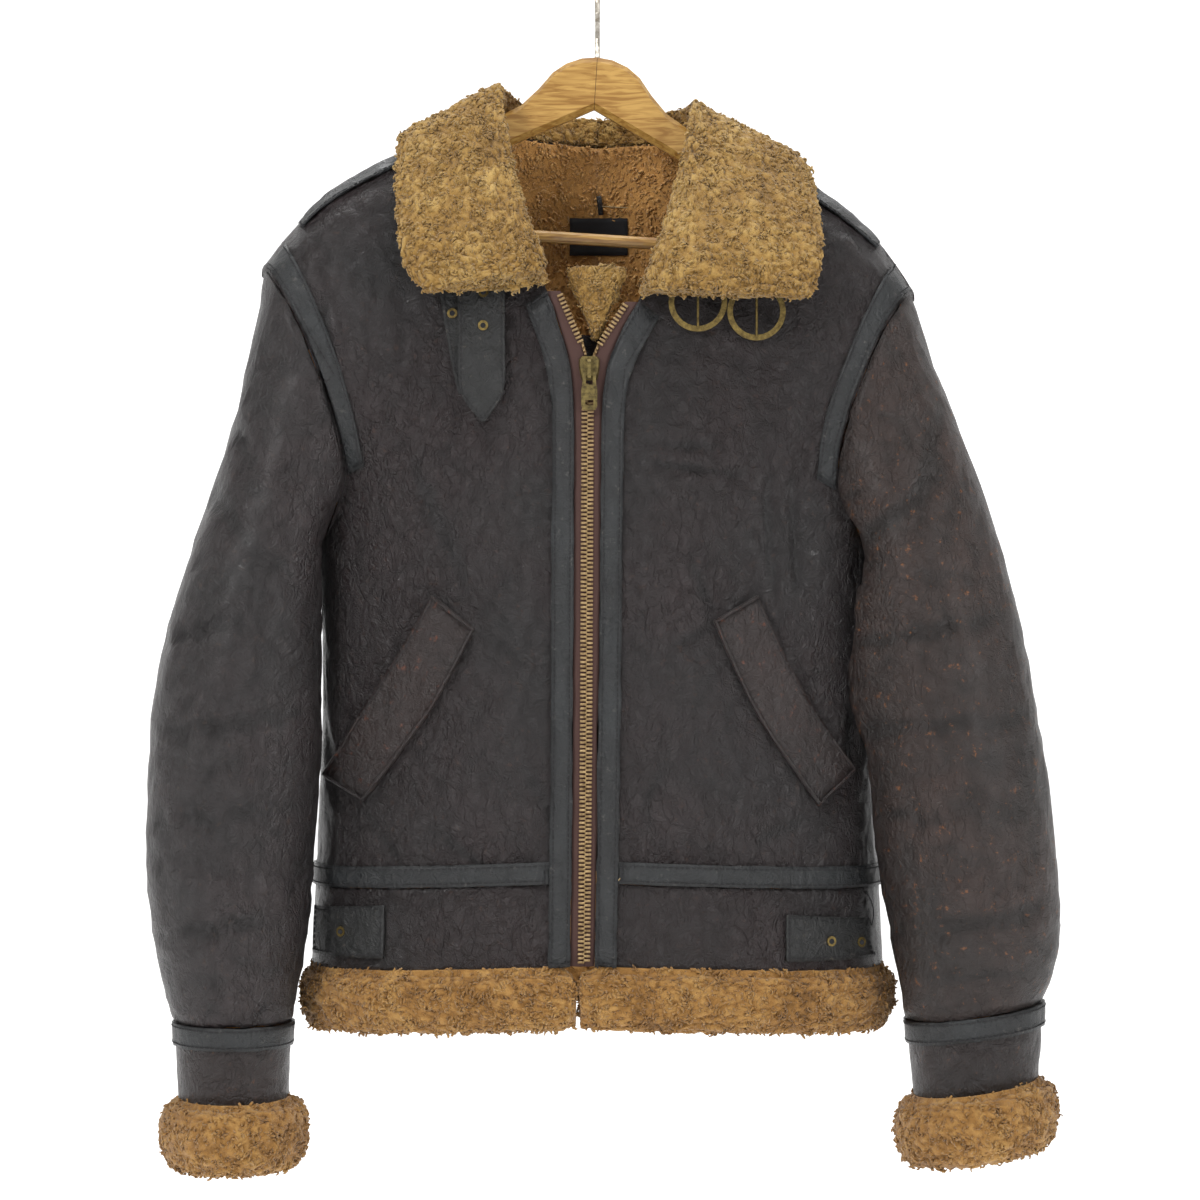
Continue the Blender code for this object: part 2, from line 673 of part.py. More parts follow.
def sleeve_rings(side):
    rows = SLEEVE[side]
    rings = [np.array([armhole(side, step) for step in range(RIM_STEPS)])]
    lean = rings[0] - [ring_point(rows[0], rim_angle(step)) for step in range(RIM_STEPS)]
    for index in range(1, SLEEVE_RINGS):
        place = index * (len(rows) - 1) / (SLEEVE_RINGS - 1)
        row = {column: smooth_read(rows, column, place) for column in rows[0]}
        row["drawn_in"] = max(0.0, row["drawn_in"])
        ring = [ring_point(row, rim_angle(step)) for step in range(RIM_STEPS)]
        ring = np.array(ring) + max(0.0, 1 - place / ARMHOLE_LEAN_REACH) * lean
        room = SLEEVE_ROOM * min(1.0, place + 0.2)
        rings.append(np.array([clear_of_body(point, room) for point in ring]))
    return np.array(rings)


def ring_normals(rings):
    along = np.gradient(rings, axis=0)
    around = np.roll(rings, -1, axis=1) - np.roll(rings, 1, axis=1)
    normals = np.cross(around, along)
    normals /= np.linalg.norm(normals, axis=2, keepdims=True)
    out = rings - rings.mean(axis=1, keepdims=True)
    return normals if float((normals * out).sum()) > 0 else -normals


def cuff_ring(row):
    full = dict(row, middle_y=CUFF_MIDDLE_Y, half_depth=CUFF_HALF_DEPTH, drawn_in=0.0)
    return [ring_point(full, rim_angle(step)) for step in range(RIM_STEPS)]


def build_sleeve(side, sign):
    rings = sleeve_rings(side)
    normals = ring_normals(rings)
    folds = FOLDS[f"sleeve_{side}"]
    for i in range(1, rings.shape[0] - 1):
        for j in range(RIM_STEPS):
            rings[i, j] -= normals[i, j] * fold_depth(folds, rings[i, j][0], rings[i, j][2])
    for i, share in enumerate(SPOKE_SHARES, start=1):
        spokes = rings[i] - rings[i].mean(axis=0)
        spokes /= np.linalg.norm(spokes, axis=1, keepdims=True)
        normals[i] = share * spokes + (1 - share) * normals[i]
        normals[i] /= np.linalg.norm(normals[i], axis=1, keepdims=True)
    inner = rings - SKIN_WALL * normals
    fold_over = np.array([UNDERARM_FOLD * smoothstep(0.0, 0.5, -math.cos(rim_angle(step)))
                          * body_out(rings[0, step]) for step in range(RIM_STEPS)])
    inner[0] = rings[0] + np.array([SKIN_WALL * armhole_inward(step) for step in range(RIM_STEPS)])
    for grid in (rings, inner):
        grid[0, :, 0] += sign * SEAM_GAP / 2
        grid[0] += fold_over
        grid[-1, :, 2] += SEAM_GAP
    wall(f"sleeve_{side}", rings, inner, "leather", closed=True)
    cuff = np.array([cuff_ring(row) for row in CUFF[side]])
    cuff_normals = ring_normals(cuff)
    wall(f"cuff_{side}", cuff, cuff - SKIN_WALL * cuff_normals, "leather", closed=True)
    band, band_normals_ = cuff[:2], cuff_normals[:2]
    wall(f"cuff_tape_{side}", band + (LIE_GAP + TAPE_WALL) * band_normals_,
         band + LIE_GAP * band_normals_, "tape", closed=True)
    down = cuff[-1].mean(axis=0) - cuff[-2].mean(axis=0)
    down /= np.linalg.norm(down)
    sections = [[point + normal * row["out"] + down * row["down"] for row in CUFF_FUR]
                for point, normal in zip(cuff[-1], cuff_normals[-1])]
    loft(f"cuff_fur_{side}", sections, "fur", closed=True)


# Collar

COLLAR_CLEAR = 5.0
NECK_GAP = 0.7
NECK_CORNER_RISE = 1.4  # over the corner where neck seam and shoulder meet
# Room under the collar's front for the straps on one side and the buckles on the other
COLLAR_FRONT_CLEAR = {"l": 13.0, "r": 21.0}


def off_the_body(point, side, face, gap):
    """Move a point of the collar's underside clear of the panel below it."""
    x, y, z = point
    ridge_z = read(RIDGE[side], "x", "z", abs(x))
    if face == "ridge" or z > ridge_z:
        return np.array((x, y, max(z, ridge_z + gap)))
    skin_y = body_y(side, face, x, z) + FACES[face] * gap
    y = min(y, skin_y) if face == "front" else max(y, skin_y)
    return np.array((x, y, z))


def collar_section(side, station, base_out, base_in, away):
    row = {column: smooth_read(COLLAR[side], column, station) for column in COLLAR[side][0]}
    roll = np.array([row["roll_" + axis] for axis in "xyz"])
    edge = np.array([row["edge_" + axis] for axis in "xyz"])
    face = "front" if station < 3.8 else "ridge" if station < 4.6 else "back"
    clear = COLLAR_FRONT_CLEAR[side] if station <= 2 else COLLAR_CLEAR
    edge = off_the_body(edge, side, face, clear + FUR_WALL)
    base_in = base_in + away * NECK_GAP
    base_out = base_out + away * NECK_GAP
    if face != "back" and station > 3:
        base_out[2] += NECK_CORNER_RISE
    fall = (edge - roll) / np.linalg.norm(edge - roll)
    stand = base_in - roll
    out = -(stand - fall * float(stand @ fall))
    out /= np.linalg.norm(out)
    start, end = base_in + 0.6 * (roll - base_in), roll + 0.25 * (edge - roll)
    bend = [(1 - t) ** 2 * start + 2 * t * (1 - t) * roll + t * t * end for t in (0, .25, .5, .75, 1)]
    near_edge = roll + 0.95 * (edge - roll)
    under_edge = off_the_body(near_edge - FUR_WALL * out, side, face, clear)
    under = [off_the_body(base_out + share * (under_edge - base_out), side, face, clear)
             for share in (0.55, 0.16)]
    return [base_in, *bend, roll + 0.62 * (edge - roll) + 2 * out, near_edge,
            edge + 3 * fall - 0.45 * FUR_WALL * out, under_edge, *under, base_out]


def build_collar(side, panels):
    """Sections of the collar stand on the neck edge of the front and the back."""
    front_outer, front_inner = panels["front", side]
    back_outer, back_inner = panels["back", side]
    lower = len(LOWER_ROWS)
    front_first = lower + len(FRONT_EDGE_ROWS)
    back_first = lower + len(BACK_EDGE_ROWS)
    sections = []
    for index, station in enumerate(FRONT_STATIONS):
        i = front_first + index
        away = front_outer[i, 0] - front_outer[i, 1]
        bases = [grid[i, 0] for grid in (front_outer, front_inner)]
        if station == 0:
            bases = [grid[i, 0] + 0.15 * (grid[i + 1, 0] - grid[i, 0])
                     for grid in (front_outer, front_inner)]
        sections.append(collar_section(side, station, *bases, away / np.linalg.norm(away)))
    for index, station in reversed(list(enumerate(BACK_STATIONS[:-1]))):
        i = back_first + index
        away = back_outer[i, 0] - back_outer[i, 1]
        if station == 7:
            away = np.array((0.0, 0.0, 1.0))
        section = collar_section(side, station, back_outer[i, 0], back_inner[i, 0],
                                 away / np.linalg.norm(away))
        if station == 7:
            for point in section:
                point[0] = SIDES[side] * SEAM_GAP / 2
        sections.append(section)
    loft(f"collar_{side}", sections, "fur")


# What lies on the panels: straps, pocket welts, eyelets

def skin_tree(names):
    """The faces of finished pieces, to find a panel's skin below a point of the front view."""
    shape = bmesh.new()
    for name in names:
        shape.from_mesh(bpy.data.objects[name].data)
    tree = BVHTree.FromBMesh(shape)
    shape.free()
    return tree


def on_skin(tree, x, z, lift, direction=1):
    """The point that lies in front of the skin at x and z."""
    start = Vector((x * MM, -direction * 0.4, z * MM))
    hit, normal, _, _ = tree.ray_cast(start, Vector((0, direction, 0)))
    if normal.y * direction > 0:
        normal = -normal
    return np.array(hit / MM + normal * lift)


def laid_piece(name, tree, rows, finish, thick, lift=LIE_GAP):
    """A flat piece laid on the skin: each row is a list of x and z across the piece."""
    under = np.array([[on_skin(tree, x, z, lift) for x, z in row] for row in rows])
    over = np.array([[on_skin(tree, x, z, lift + thick) for x, z in row] for row in rows])
    return wall(name, over, under, finish)


def between(start, end, share):
    return tuple(a + (b - a) * share for a, b in zip(start, end))


STRAP_SEAT = 1.2
STRAP_LIFT = STRAP_SEAT + STRAP_WALL + 2 * LIE_GAP
WELT_SEAT = 1.8

# Strap outlines: one row across the strap for each step along it
COLLAR_STRAP_FRONT = table("left right z_left z_right", [
    (-104, -69, -236, -236), (-104, -69, -262, -262), (-104, -69, -298, -298),
    (-103.5, -68.5, -331, -331), (-96, -76, -341, -341), (-86.5, -84, -352, -352)])
COLLAR_STRAP_BEHIND = table("left right z_left z_right", [
    (-122, -92, -236, -236), (-118, -88, -258, -258), (-114, -86, -280, -280),
    (-110, -84, -305, -305), (-104, -82, -331, -331)])
SIDE_STRAPS = {
    "l": table("left right z_left z_right", [
        (-214, -159, -720.5, -715.5), (-215, -159.5, -740, -736), (-215, -160, -756, -755.5)]),
    "r": table("left right z_left z_right", [
        (141, 204, -722, -728), (141, 206, -740, -745), (141, 209, -757, -758)]),
}

# Pocket welts: opening edge and inner edge, from the upper end to the lower one
WELT = {
    "l": table("open_x open_z inner_x inner_z", [
        (-122.8, -482.6, -91.1, -507.7), (-141, -515, -106, -537), (-160, -546, -123, -568),
        (-178, -573, -138, -588), (-192, -597, -155, -612), (-207, -619.7, -175, -638)]),
    "r": table("open_x open_z inner_x inner_z", [
        (119, -482.6, 86.3, -501.7), (130, -507, 98, -530), (142, -534, 112, -560),
        (156, -560, 128, -588), (174, -587, 146, -614), (194, -615, 165, -641)]),
}
WELT_WALL = 3.2

EYELETS = table("x z lift", [
    (-85.3, -255.5, 2), (-85.5, -280.5, 2), (-108.8, -271, 1), (-194, -737, 1), (176, -743, 1),
    (200, -745.5, 1)])
EYELET_OUTER = 3.9
EYELET_INNER = 2.1
EYELET_THICK = 0.9


def strap(name, tree, rows, lift=STRAP_SEAT, spans=4):
    steps = [step / spans for step in range(spans + 1)]
    lines = [[between((row["left"], row["z_left"]), (row["right"], row["z_right"]), share)
              for share in steps] for row in rows]
    return laid_piece(name, tree, lines, "tape", STRAP_WALL, lift)


def turned_ring(name, centre, axis, outer, inner, thick, finish, sides):
    """A flat ring standing on a point, its axis along the skin's normal."""
    axis = np.array(axis) / np.linalg.norm(axis)
    across = np.cross(axis, (0, 0, 1))
    across /= np.linalg.norm(across)
    up = np.cross(across, axis)
    sections = []
    for step in range(sides):
        angle = 2 * math.pi * step / sides
        ray = across * math.cos(angle) + up * math.sin(angle)
        sections.append([centre + ray * outer, centre + ray * outer + axis * thick,
                         centre + ray * inner + axis * thick, centre + ray * inner])
    return loft(name, sections, finish, closed=True)


def build_straps():
    left = skin_tree(["front_l"])
    strap("collar_strap_behind", left, COLLAR_STRAP_BEHIND)
    strap("collar_strap_front", left, COLLAR_STRAP_FRONT, STRAP_LIFT)
    for side in SIDES:
        strap(f"side_strap_{side}", skin_tree([f"waistband_front_{side}"]), SIDE_STRAPS[side],
              spans=8)
        rows = [[between((row["open_x"], row["open_z"]), (row["inner_x"], row["inner_z"]), share)
                 for share in (0, 0.2, 0.4, 0.6, 0.8, 1)] for row in WELT[side]]
        laid_piece(f"pocket_welt_{side}", skin_tree([f"front_{side}"]), rows, "leather", WELT_WALL,
                   WELT_SEAT)
    tree = skin_tree(["collar_strap_front", "collar_strap_behind", "side_strap_l", "side_strap_r"])
    for number, row in enumerate(EYELETS, start=1):
        seat = on_skin(tree, row["x"], row["z"], LIE_GAP)
        normal = seat - on_skin(tree, row["x"], row["z"], 0)
        turned_ring(f"eyelet_{number}", seat, normal, EYELET_OUTER, EYELET_INNER, EYELET_THICK,
                    "brass", 12)


# Zip

ZIP_TAPE_WALL = 2.0
ZIP_SET_BACK = 0.8
V_TAPE_WIDTH = 10.0
SLIDER = table("z half_width", [(-303.5, 6.0), (-306, 8.0), (-313, 7.6), (-320, 6.2), (-321.5, 5.2)])
SLIDER_THICK = 4.0
SLIDER_SEAT = 0.4       # between the slider and the tape that it runs on
BRIDGE_HALF = 1.4
PIVOT_Z = -317.0
PIVOT_OUT = 2.6
PULL_BAR = 1.1
PULL_WIDTH = 6.0
PULL_LENGTH = 27.0
PULL_THICK = 1.7


def build_zip(skins):
    lower = len(LOWER_ROWS)
    neck_row = lower + len(FRONT_EDGE_ROWS)
    for side, sign in SIDES.items():
        edge = np.concatenate((skins["waist", side][:, 0], skins["front", side][1:neck_row + 1, 0]))
        rows = []
        for point in edge:
            x, y, z = point
            middle = read(ZIP, "z", "middle", z)
            start = x - sign * SEAM_GAP
            width = abs(middle - start) - SEAM_GAP / 2
            width += (V_TAPE_WIDTH - width) * smoothstep(-304, -280, z)
            rows.append([(start - sign * width * share, y + ZIP_SET_BACK, z) for share in (0, 1)])
        front = np.array(rows)
        wall(f"zip_tape_{side}", front, front + np.array((0, ZIP_TAPE_WALL, 0)), "zip_tape")
    middle_x = read(ZIP, "z", "middle", SLIDER[0]["z"])
    face_y = body_y("l", "front", middle_x, PIVOT_Z) + ZIP_SET_BACK - SLIDER_SEAT
    build_slider(middle_x, face_y)
    build_pull(middle_x, face_y - SLIDER_THICK - PIVOT_OUT)


def build_slider(x, y):
    """Slider plate with a bridge that the pull's bar passes under."""
    plate = [[(x - row["half_width"], y, row["z"]), (x + row["half_width"], y, row["z"]),
              (x + row["half_width"] - 1, y - SLIDER_THICK, row["z"]),
              (x - row["half_width"] + 1, y - SLIDER_THICK, row["z"])] for row in SLIDER]
    body = loft("zip_slider", plate, "brass")
    top, foot = SLIDER[0]["z"] - 1.5, PIVOT_Z - 3.2
    out = y - SLIDER_THICK
    profile = [(out + 0.6, top), (out - 4.0, top - 1.2), (out - 5.6, top - 3.0),
               (out - 5.6, foot + 1.2), (out - 4.6, foot), (out + 0.6, foot),
               (out + 0.6, foot + 1.5), (out - 4.1, foot + 1.6), (out - 4.1, top - 4.2),
               (out - 3.2, top - 4.8), (out + 0.6, top - 4.8)]
    arch = loft("slider_bridge", [[(x + shift, a, b) for a, b in profile]
                                  for shift in (-BRIDGE_HALF, BRIDGE_HALF)], "brass")
    join = body.modifiers.new("bridge", "BOOLEAN")
    join.operation = "UNION"
    join.object = arch
    arch.hide_render = True
    arch.display_type = "WIRE"


def build_pull(x, y):
    """Pull tab: a frame that hangs from its bar, with a rectangular hole at its foot."""
    pull = bmesh.new()
    half = PULL_THICK / 2
    outline = [(-5.0, 1.1), (5.0, 1.1), (5.0, -6), (PULL_WIDTH, -12), (PULL_WIDTH, -24),
               (4.6, -PULL_LENGTH), (-4.6, -PULL_LENGTH), (-PULL_WIDTH, -24), (-PULL_WIDTH, -12),
               (-5.0, -6)]
    for shift in (-half, half):
        ring = [pull.verts.new((x + a, y + shift, PIVOT_Z + b)) for a, b in outline]
        pull.faces.new(ring)
    pull.verts.ensure_lookup_table()
    count = len(outline)
    for i in range(count):
        k = (i + 1) % count
        pull.faces.new((pull.verts[i], pull.verts[k], pull.verts[count + k], pull.verts[count + i]))
    made = add_solid("zip_pull", pull, "brass")
    for name, half_width, low, high in (("pull_eye", 2.6, -8.0, -PULL_BAR), ("pull_slot", 3.0, -23.5, -19.5)):
        cutter = bmesh.new()
        bmesh.ops.create_cube(cutter, size=1)
        bmesh.ops.scale(cutter, vec=(2 * half_width, 6, high - low), verts=cutter.verts)
        bmesh.ops.translate(cutter, vec=(x, y, PIVOT_Z + (low + high) / 2), verts=cutter.verts)
        box = add_solid(name, cutter, "brass")
        box.hide_render = True
        box.display_type = "WIRE"
        cut = made.modifiers.new(name, "BOOLEAN")
        cut.operation = "DIFFERENCE"
        cut.object = box


# Ring buckles on their leather chapes

BUCKLES = table("x z", [(75.3, -263.0), (119.3, -269.5)])
BUCKLE_OUTER = 22.0
BUCKLE_INNER = 17.8
BUCKLE_THICK = 2.4
BUCKLE_STAND = 5.8      # from the front's skin to the middle of the ring's wire
CHAPE_HOLE = 3.4
CHAPE_WALL = 1.2
CHAPE_HALF = 5.0
CHAPE_RISE = 12.0
CHAPE_SEAT = 0.35       # between the chape's sewn end and the front
PRONG_RADIUS = 0.9
PRONG_EYE = 3.8


def build_buckles():
    tree = skin_tree(["front_r"])
    for letter, row in zip("ab", BUCKLES):
        bar_z = row["z"] + (BUCKLE_OUTER + BUCKLE_INNER) / 2
        skin_y = min(on_skin(tree, row["x"] + across, row["z"] + up, 0)[1]
                     for across, up in ((0, 18), (0, -20), (-18, -8), (18, -8), (0, 0)))
        back_y = skin_y - BUCKLE_STAND + BUCKLE_THICK / 2
        centre = np.array((row["x"], back_y, row["z"]))
        turned_ring(f"ring_buckle_{letter}", centre, (0, -1, 0), BUCKLE_OUTER, BUCKLE_INNER,
                    BUCKLE_THICK, "brass", 28)
        bar_y = back_y - BUCKLE_THICK / 2
        build_chape(f"buckle_tab_{letter}", row["x"], bar_y, bar_z, tree)
        build_prong(f"prong_{letter}", row["x"], bar_y, bar_z)


def build_chape(name, x, y, z, tree):
    """A leather loop round the top of the ring, slit in its middle for the prong."""
    outer = CHAPE_HOLE + CHAPE_WALL
    turns = [math.radians(a) for a in range(0, -181, -30)]
    out_loop = [(y + outer * math.cos(a), z + outer * math.sin(a)) for a in turns]
    in_loop = [(y + CHAPE_HOLE * math.cos(a), z + CHAPE_HOLE * math.sin(a)) for a in turns]
    close = CHAPE_HOLE + 0.6
    top = z + CHAPE_RISE
    seat = min(on_skin(tree, x + across, top, 0)[1] for across in (-CHAPE_HALF, CHAPE_HALF))
    seat -= CHAPE_SEAT
    profile = [(seat, top), *out_loop, (y - outer, z + close), (y - 0.5, z + close + 3.2),
               (y - 0.5, z + close + 1.4), (y - CHAPE_HOLE, z + close - 1.4), *in_loop[::-1],
               (seat - CHAPE_WALL, top)]
    chape = loft(name, [[(x + shift, a, b) for a, b in profile]
                        for shift in (-CHAPE_HALF, CHAPE_HALF)], "tape")
    cutter = bmesh.new()
    bmesh.ops.create_cube(cutter, size=1)
    bmesh.ops.scale(cutter, vec=(3.4, 30, 2 * outer + 4), verts=cutter.verts)
    bmesh.ops.translate(cutter, vec=(x, y, z - 1), verts=cutter.verts)
    slit = add_solid(name + "_slit", cutter, "tape")
    slit.hide_render = True
    slit.display_type = "WIRE"
    cut = chape.modifiers.new("slit", "BOOLEAN")
    cut.operation = "DIFFERENCE"
    cut.object = slit


def build_prong(name, x, y, z):
    """A wire prong that turns on the ring's top and rests before its foot."""
    reach = BUCKLE_OUTER + BUCKLE_INNER - 1.0
    turns = [math.radians(a) for a in range(-60, 211, 30)]
    path = [(y + PRONG_EYE * math.cos(a), z + PRONG_EYE * math.sin(a)) for a in turns]
    foot_y = y - BUCKLE_THICK / 2 - PRONG_RADIUS - 0.6
    path += [(foot_y - 0.5, z - 8), (foot_y, z - reach)]
    route = [Vector((x, a, b)) for a, b in path]
    sections = []
    for index, point in enumerate(route):
        before, after = route[max(index - 1, 0)], route[min(index + 1, len(route) - 1)]
        along = (after - before).normalized()
        side = Vector((1, 0, 0))
        across = along.cross(side).normalized()
        sections.append([point + PRONG_RADIUS * (side * math.cos(a) + across * math.sin(a))
                         for a in (2 * math.pi * step / 6 for step in range(6))])
    loft(name, sections, "brass")


# Hanger

def tilt(point):
    """Turn a point of the hanger about the foot of its hook."""
    x, y, z = point
    z -= YOKE[0]["top"]
    return (x * math.cos(YOKE_TILT) + z * math.sin(YOKE_TILT), y,
            YOKE[0]["top"] - x * math.sin(YOKE_TILT) + z * math.cos(YOKE_TILT))


def build_hanger():
    half = YOKE_THICK / 2
    for side, sign in SIDES.items():
        sections = []
        for row in YOKE:
            x = sign * max(row["x"], SEAM_GAP / 2)
            y = -RIDGE_FORWARD * (row["x"] / RIDGE_REACH) ** 2
            top, bottom, cut = row["top"], row["bottom"], YOKE_ROUND
            outline = [(-half, bottom + cut), (-half + cut, bottom), (half - cut, bottom),
                       (half, bottom + cut), (half, top - cut), (half - cut, top),
                       (-half + cut, top), (-half, top - cut)]
            sections.append([tilt((x, y + a, b)) for a, b in outline])
        loft(f"hanger_yoke_{side}", sections, "wood")
    turns = [2 * math.pi * step / 12 for step in range(12)]
    bar = [[tilt((x, BAR_Y + BAR_RADIUS * math.cos(a), BAR_DROP + BAR_RADIUS * math.sin(a)))
            for a in turns] for x in (-BAR_REACH, BAR_REACH)]
    loft("hanger_bar", bar, "wood")
    build_hook()


def build_hook():
    """Wire from the yoke, back and over the rail, to a tip in front of it."""
    foot = YOKE[0]["top"] + SEAM_GAP
    crown = HOOK_WIRE - HOOK_RADIUS
    route = [(0, foot), (0, foot + 8), (1, foot + 14), (8, foot + 22)]
    for turn in range(-30, 211, 20):
        angle = math.radians(turn)
        route.append((HOOK_RADIUS * math.cos(angle), crown + HOOK_RADIUS * math.sin(angle)))
    curve = bpy.data.curves.new("hanger_hook", "CURVE")
    curve.dimensions = "3D"
    curve.bevel_depth = HOOK_WIRE * MM
    curve.bevel_resolution = 2
    curve.use_fill_caps = True
    line = curve.splines.new("POLY")
    line.points.add(len(route) - 1)
    for point, (y, z) in zip(line.points, route):
        point.co = (0, y * MM, z * MM, 1)
    curve.materials.append(material("wire"))
    bpy.context.collection.objects.link(bpy.data.objects.new("hanger_hook", curve))


# Inside the neck: the label and the flap behind the zip

LABEL = table("x_left x_right z", [(-23, 25, -181), (-23, 25, -196), (-23, 25, -210)])
LABEL_WALL = 1.0
FLAP_LEFT = -64.0
FLAP_RIGHT = 30.0
FLAP_WALL = 2.0
FLAP_SEAT = 2.2
FLAP_DEEP = 20.0
FLAP_ROWS = (-690, -600, -500, -400, -330, -285)
FLAP_FUR = table("z half_width thick", [
    (-232, 27, 10), (-248, 24, 11), (-262, 16, 11), (-276, 9, 12), (-290, 4, 12.8)])


def flap_point(x, z, behind):
    reach = smoothstep(FLAP_LEFT + 8, FLAP_LEFT + 32, x)
    skin = body_y("l", "front", x, z)
    return (x, skin + SKIN_WALL + FLAP_SEAT + (FLAP_DEEP - SKIN_WALL) * reach + behind, z)


def build_neck():
    back = skin_tree(["back_l", "back_r"])
    rows = [[on_skin(back, row["x_left"] + (row["x_right"] - row["x_left"]) * share, row["z"],
                     LIE_GAP) for share in (0.02, 0.25, 0.52, 0.75, 0.98)] for row in LABEL]
    outer = np.array(rows)
    wall("neck_label", outer + np.array((0, -LABEL_WALL, 0)), outer, "label")
    shares = [step / 6 for step in range(7)]
    flap = [[[flap_point(FLAP_LEFT + (FLAP_RIGHT - FLAP_LEFT) * share, z, behind)
              for share in shares] for z in FLAP_ROWS] for behind in (0, FLAP_WALL)]
    wall("wind_flap", np.array(flap[0]), np.array(flap[1]), "leather")
    sections = []
    for row in FLAP_FUR:
        x0, wide, thick = -0.5, row["half_width"], row["thick"]
        front = body_y("l", "front", 0, row["z"]) + SKIN_WALL + 3.0
        outline = [(-wide, thick * 0.5), (-wide * 0.7, 1), (0, 0), (wide * 0.7, 1),
                   (wide, thick * 0.5), (wide * 0.6, thick), (-wide * 0.6, thick)]
        sections.append([(x0 + a, front + b, row["z"]) for a, b in outline])
    loft("wind_flap_fur", sections, "fur")


def main():
    clear_scene()
    skins = build_body()
    build_tapes(skins)
    for side, sign in SIDES.items():
        build_sleeve(side, sign)
    panels = {(face, side): panel(side, face) for face in FACES for side in SIDES}
    for side in SIDES:
        build_collar(side, panels)
    build_straps()
    build_zip(skins)
    build_buckles()
    build_hanger()
    build_neck()


main()
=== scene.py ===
# %% [markdown]
# A sheepskin flying jacket on a wooden hanger
#
# The jacket is a hide worn with its wool inside. The leather shows on the body and sleeves, and
# the wool shows where the hide is turned out: at the collar, the hem and the cuffs. The packed
# model gives the shape of every piece. This script gives each piece its surface: wrinkles,
# grain, stitches, zip teeth and thousands of locks of wool.

import json
import math

import bmesh
import bpy
import numpy as np
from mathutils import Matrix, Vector, noise
from mathutils.bvhtree import BVHTree

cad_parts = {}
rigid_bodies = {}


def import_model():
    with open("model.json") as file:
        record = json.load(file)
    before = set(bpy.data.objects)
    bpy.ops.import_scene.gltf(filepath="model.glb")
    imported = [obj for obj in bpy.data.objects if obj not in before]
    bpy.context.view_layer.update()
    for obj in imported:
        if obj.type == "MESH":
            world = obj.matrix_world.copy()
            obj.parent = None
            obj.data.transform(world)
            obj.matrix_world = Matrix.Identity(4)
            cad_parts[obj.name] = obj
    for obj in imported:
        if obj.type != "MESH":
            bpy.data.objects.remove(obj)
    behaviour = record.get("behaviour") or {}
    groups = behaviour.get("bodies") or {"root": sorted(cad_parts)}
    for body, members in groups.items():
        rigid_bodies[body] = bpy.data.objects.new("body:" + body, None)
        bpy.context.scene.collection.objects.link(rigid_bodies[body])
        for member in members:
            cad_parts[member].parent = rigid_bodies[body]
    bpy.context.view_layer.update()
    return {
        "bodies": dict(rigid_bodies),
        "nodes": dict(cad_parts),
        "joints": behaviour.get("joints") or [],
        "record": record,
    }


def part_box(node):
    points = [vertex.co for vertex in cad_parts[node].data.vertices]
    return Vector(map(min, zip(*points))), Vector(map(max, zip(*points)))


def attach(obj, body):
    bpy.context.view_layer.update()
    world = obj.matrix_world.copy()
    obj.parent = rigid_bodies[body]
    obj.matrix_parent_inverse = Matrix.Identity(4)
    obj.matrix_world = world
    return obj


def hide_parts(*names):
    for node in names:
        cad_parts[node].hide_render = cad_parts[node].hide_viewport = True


MM = 0.001
noise.seed_set(7)  # without a seed, noise_vector starts from the clock
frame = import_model()
nodes = frame["nodes"]


def linked(name, data):
    """A new object in the scene. A bmesh shape is turned into its mesh and freed."""
    if isinstance(data, bmesh.types.BMesh):
        shape, data = data, bpy.data.meshes.new(name)
        shape.to_mesh(data)
        shape.free()
    made = bpy.data.objects.new(name, data)
    bpy.context.collection.objects.link(made)
    return made


def on_root(name, data, finish):
    """A finished piece that rides on the body root."""
    made = linked(name, data)
    made.data.materials.append(finish)
    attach(made, "root")
    return made


def read(rows, key, width=3):
    """One value of every row, such as all the places of a mesh's points, as an array."""
    out = np.empty(len(rows) * width)
    rows.foreach_get(key, out)
    return out.reshape(-1, width) if width > 1 else out

# %% [markdown]
# The camera comes first, because every look at the work goes through it. The photograph was
# taken level and from a distance, at about the middle of the jacket, so the lens is a long one.

# %% Camera
EYE = (0.002, -2.2, -0.486)
camera = linked("camera", bpy.data.cameras.new("camera"))
camera.location = EYE
camera.rotation_euler = (math.pi / 2, 0, 0)
camera.data.lens = 84.5
camera.data.sensor_width = 36
bpy.context.scene.camera = camera
print("camera:", EYE, "lens", camera.data.lens)

# %% [markdown]
# The studio is a white sweep of paper: a floor that turns up into a back wall, so that no line
# shows where they meet. The wall stands well back, so that the jacket can also be seen from
# behind, and the paper glows a little, because it is too far away for the lights. Large soft
# lights on both sides keep the shadows in the folds gentle, and one from above picks out the
# tops of the wrinkles.

# %% Studio
FLOOR_Z = -1.06
sweep = bmesh.new()
profile = [(-4.0, FLOOR_Z), (3.4, FLOOR_Z)]
profile += [(3.4 + 0.6 * math.sin(a), FLOOR_Z + 0.6 * (1 - math.cos(a)))
            for a in (math.radians(step * 15) for step in range(1, 7))]
profile += [(4.0, 3.5)]
line = [sweep.verts.new((-5, y, z)) for y, z in profile]
edges = [sweep.edges.new(pair) for pair in zip(line, line[1:])]
made = bmesh.ops.extrude_edge_only(sweep, edges=edges)["geom"]
bmesh.ops.translate(sweep, vec=(10, 0, 0), verts=[g for g in made if isinstance(g, bmesh.types.BMVert)])
bmesh.ops.recalc_face_normals(sweep, faces=sweep.faces)
paper = linked("paper", sweep)
paper.data.shade_smooth()
glow = bpy.data.materials.new("paper")
glow.use_nodes = True
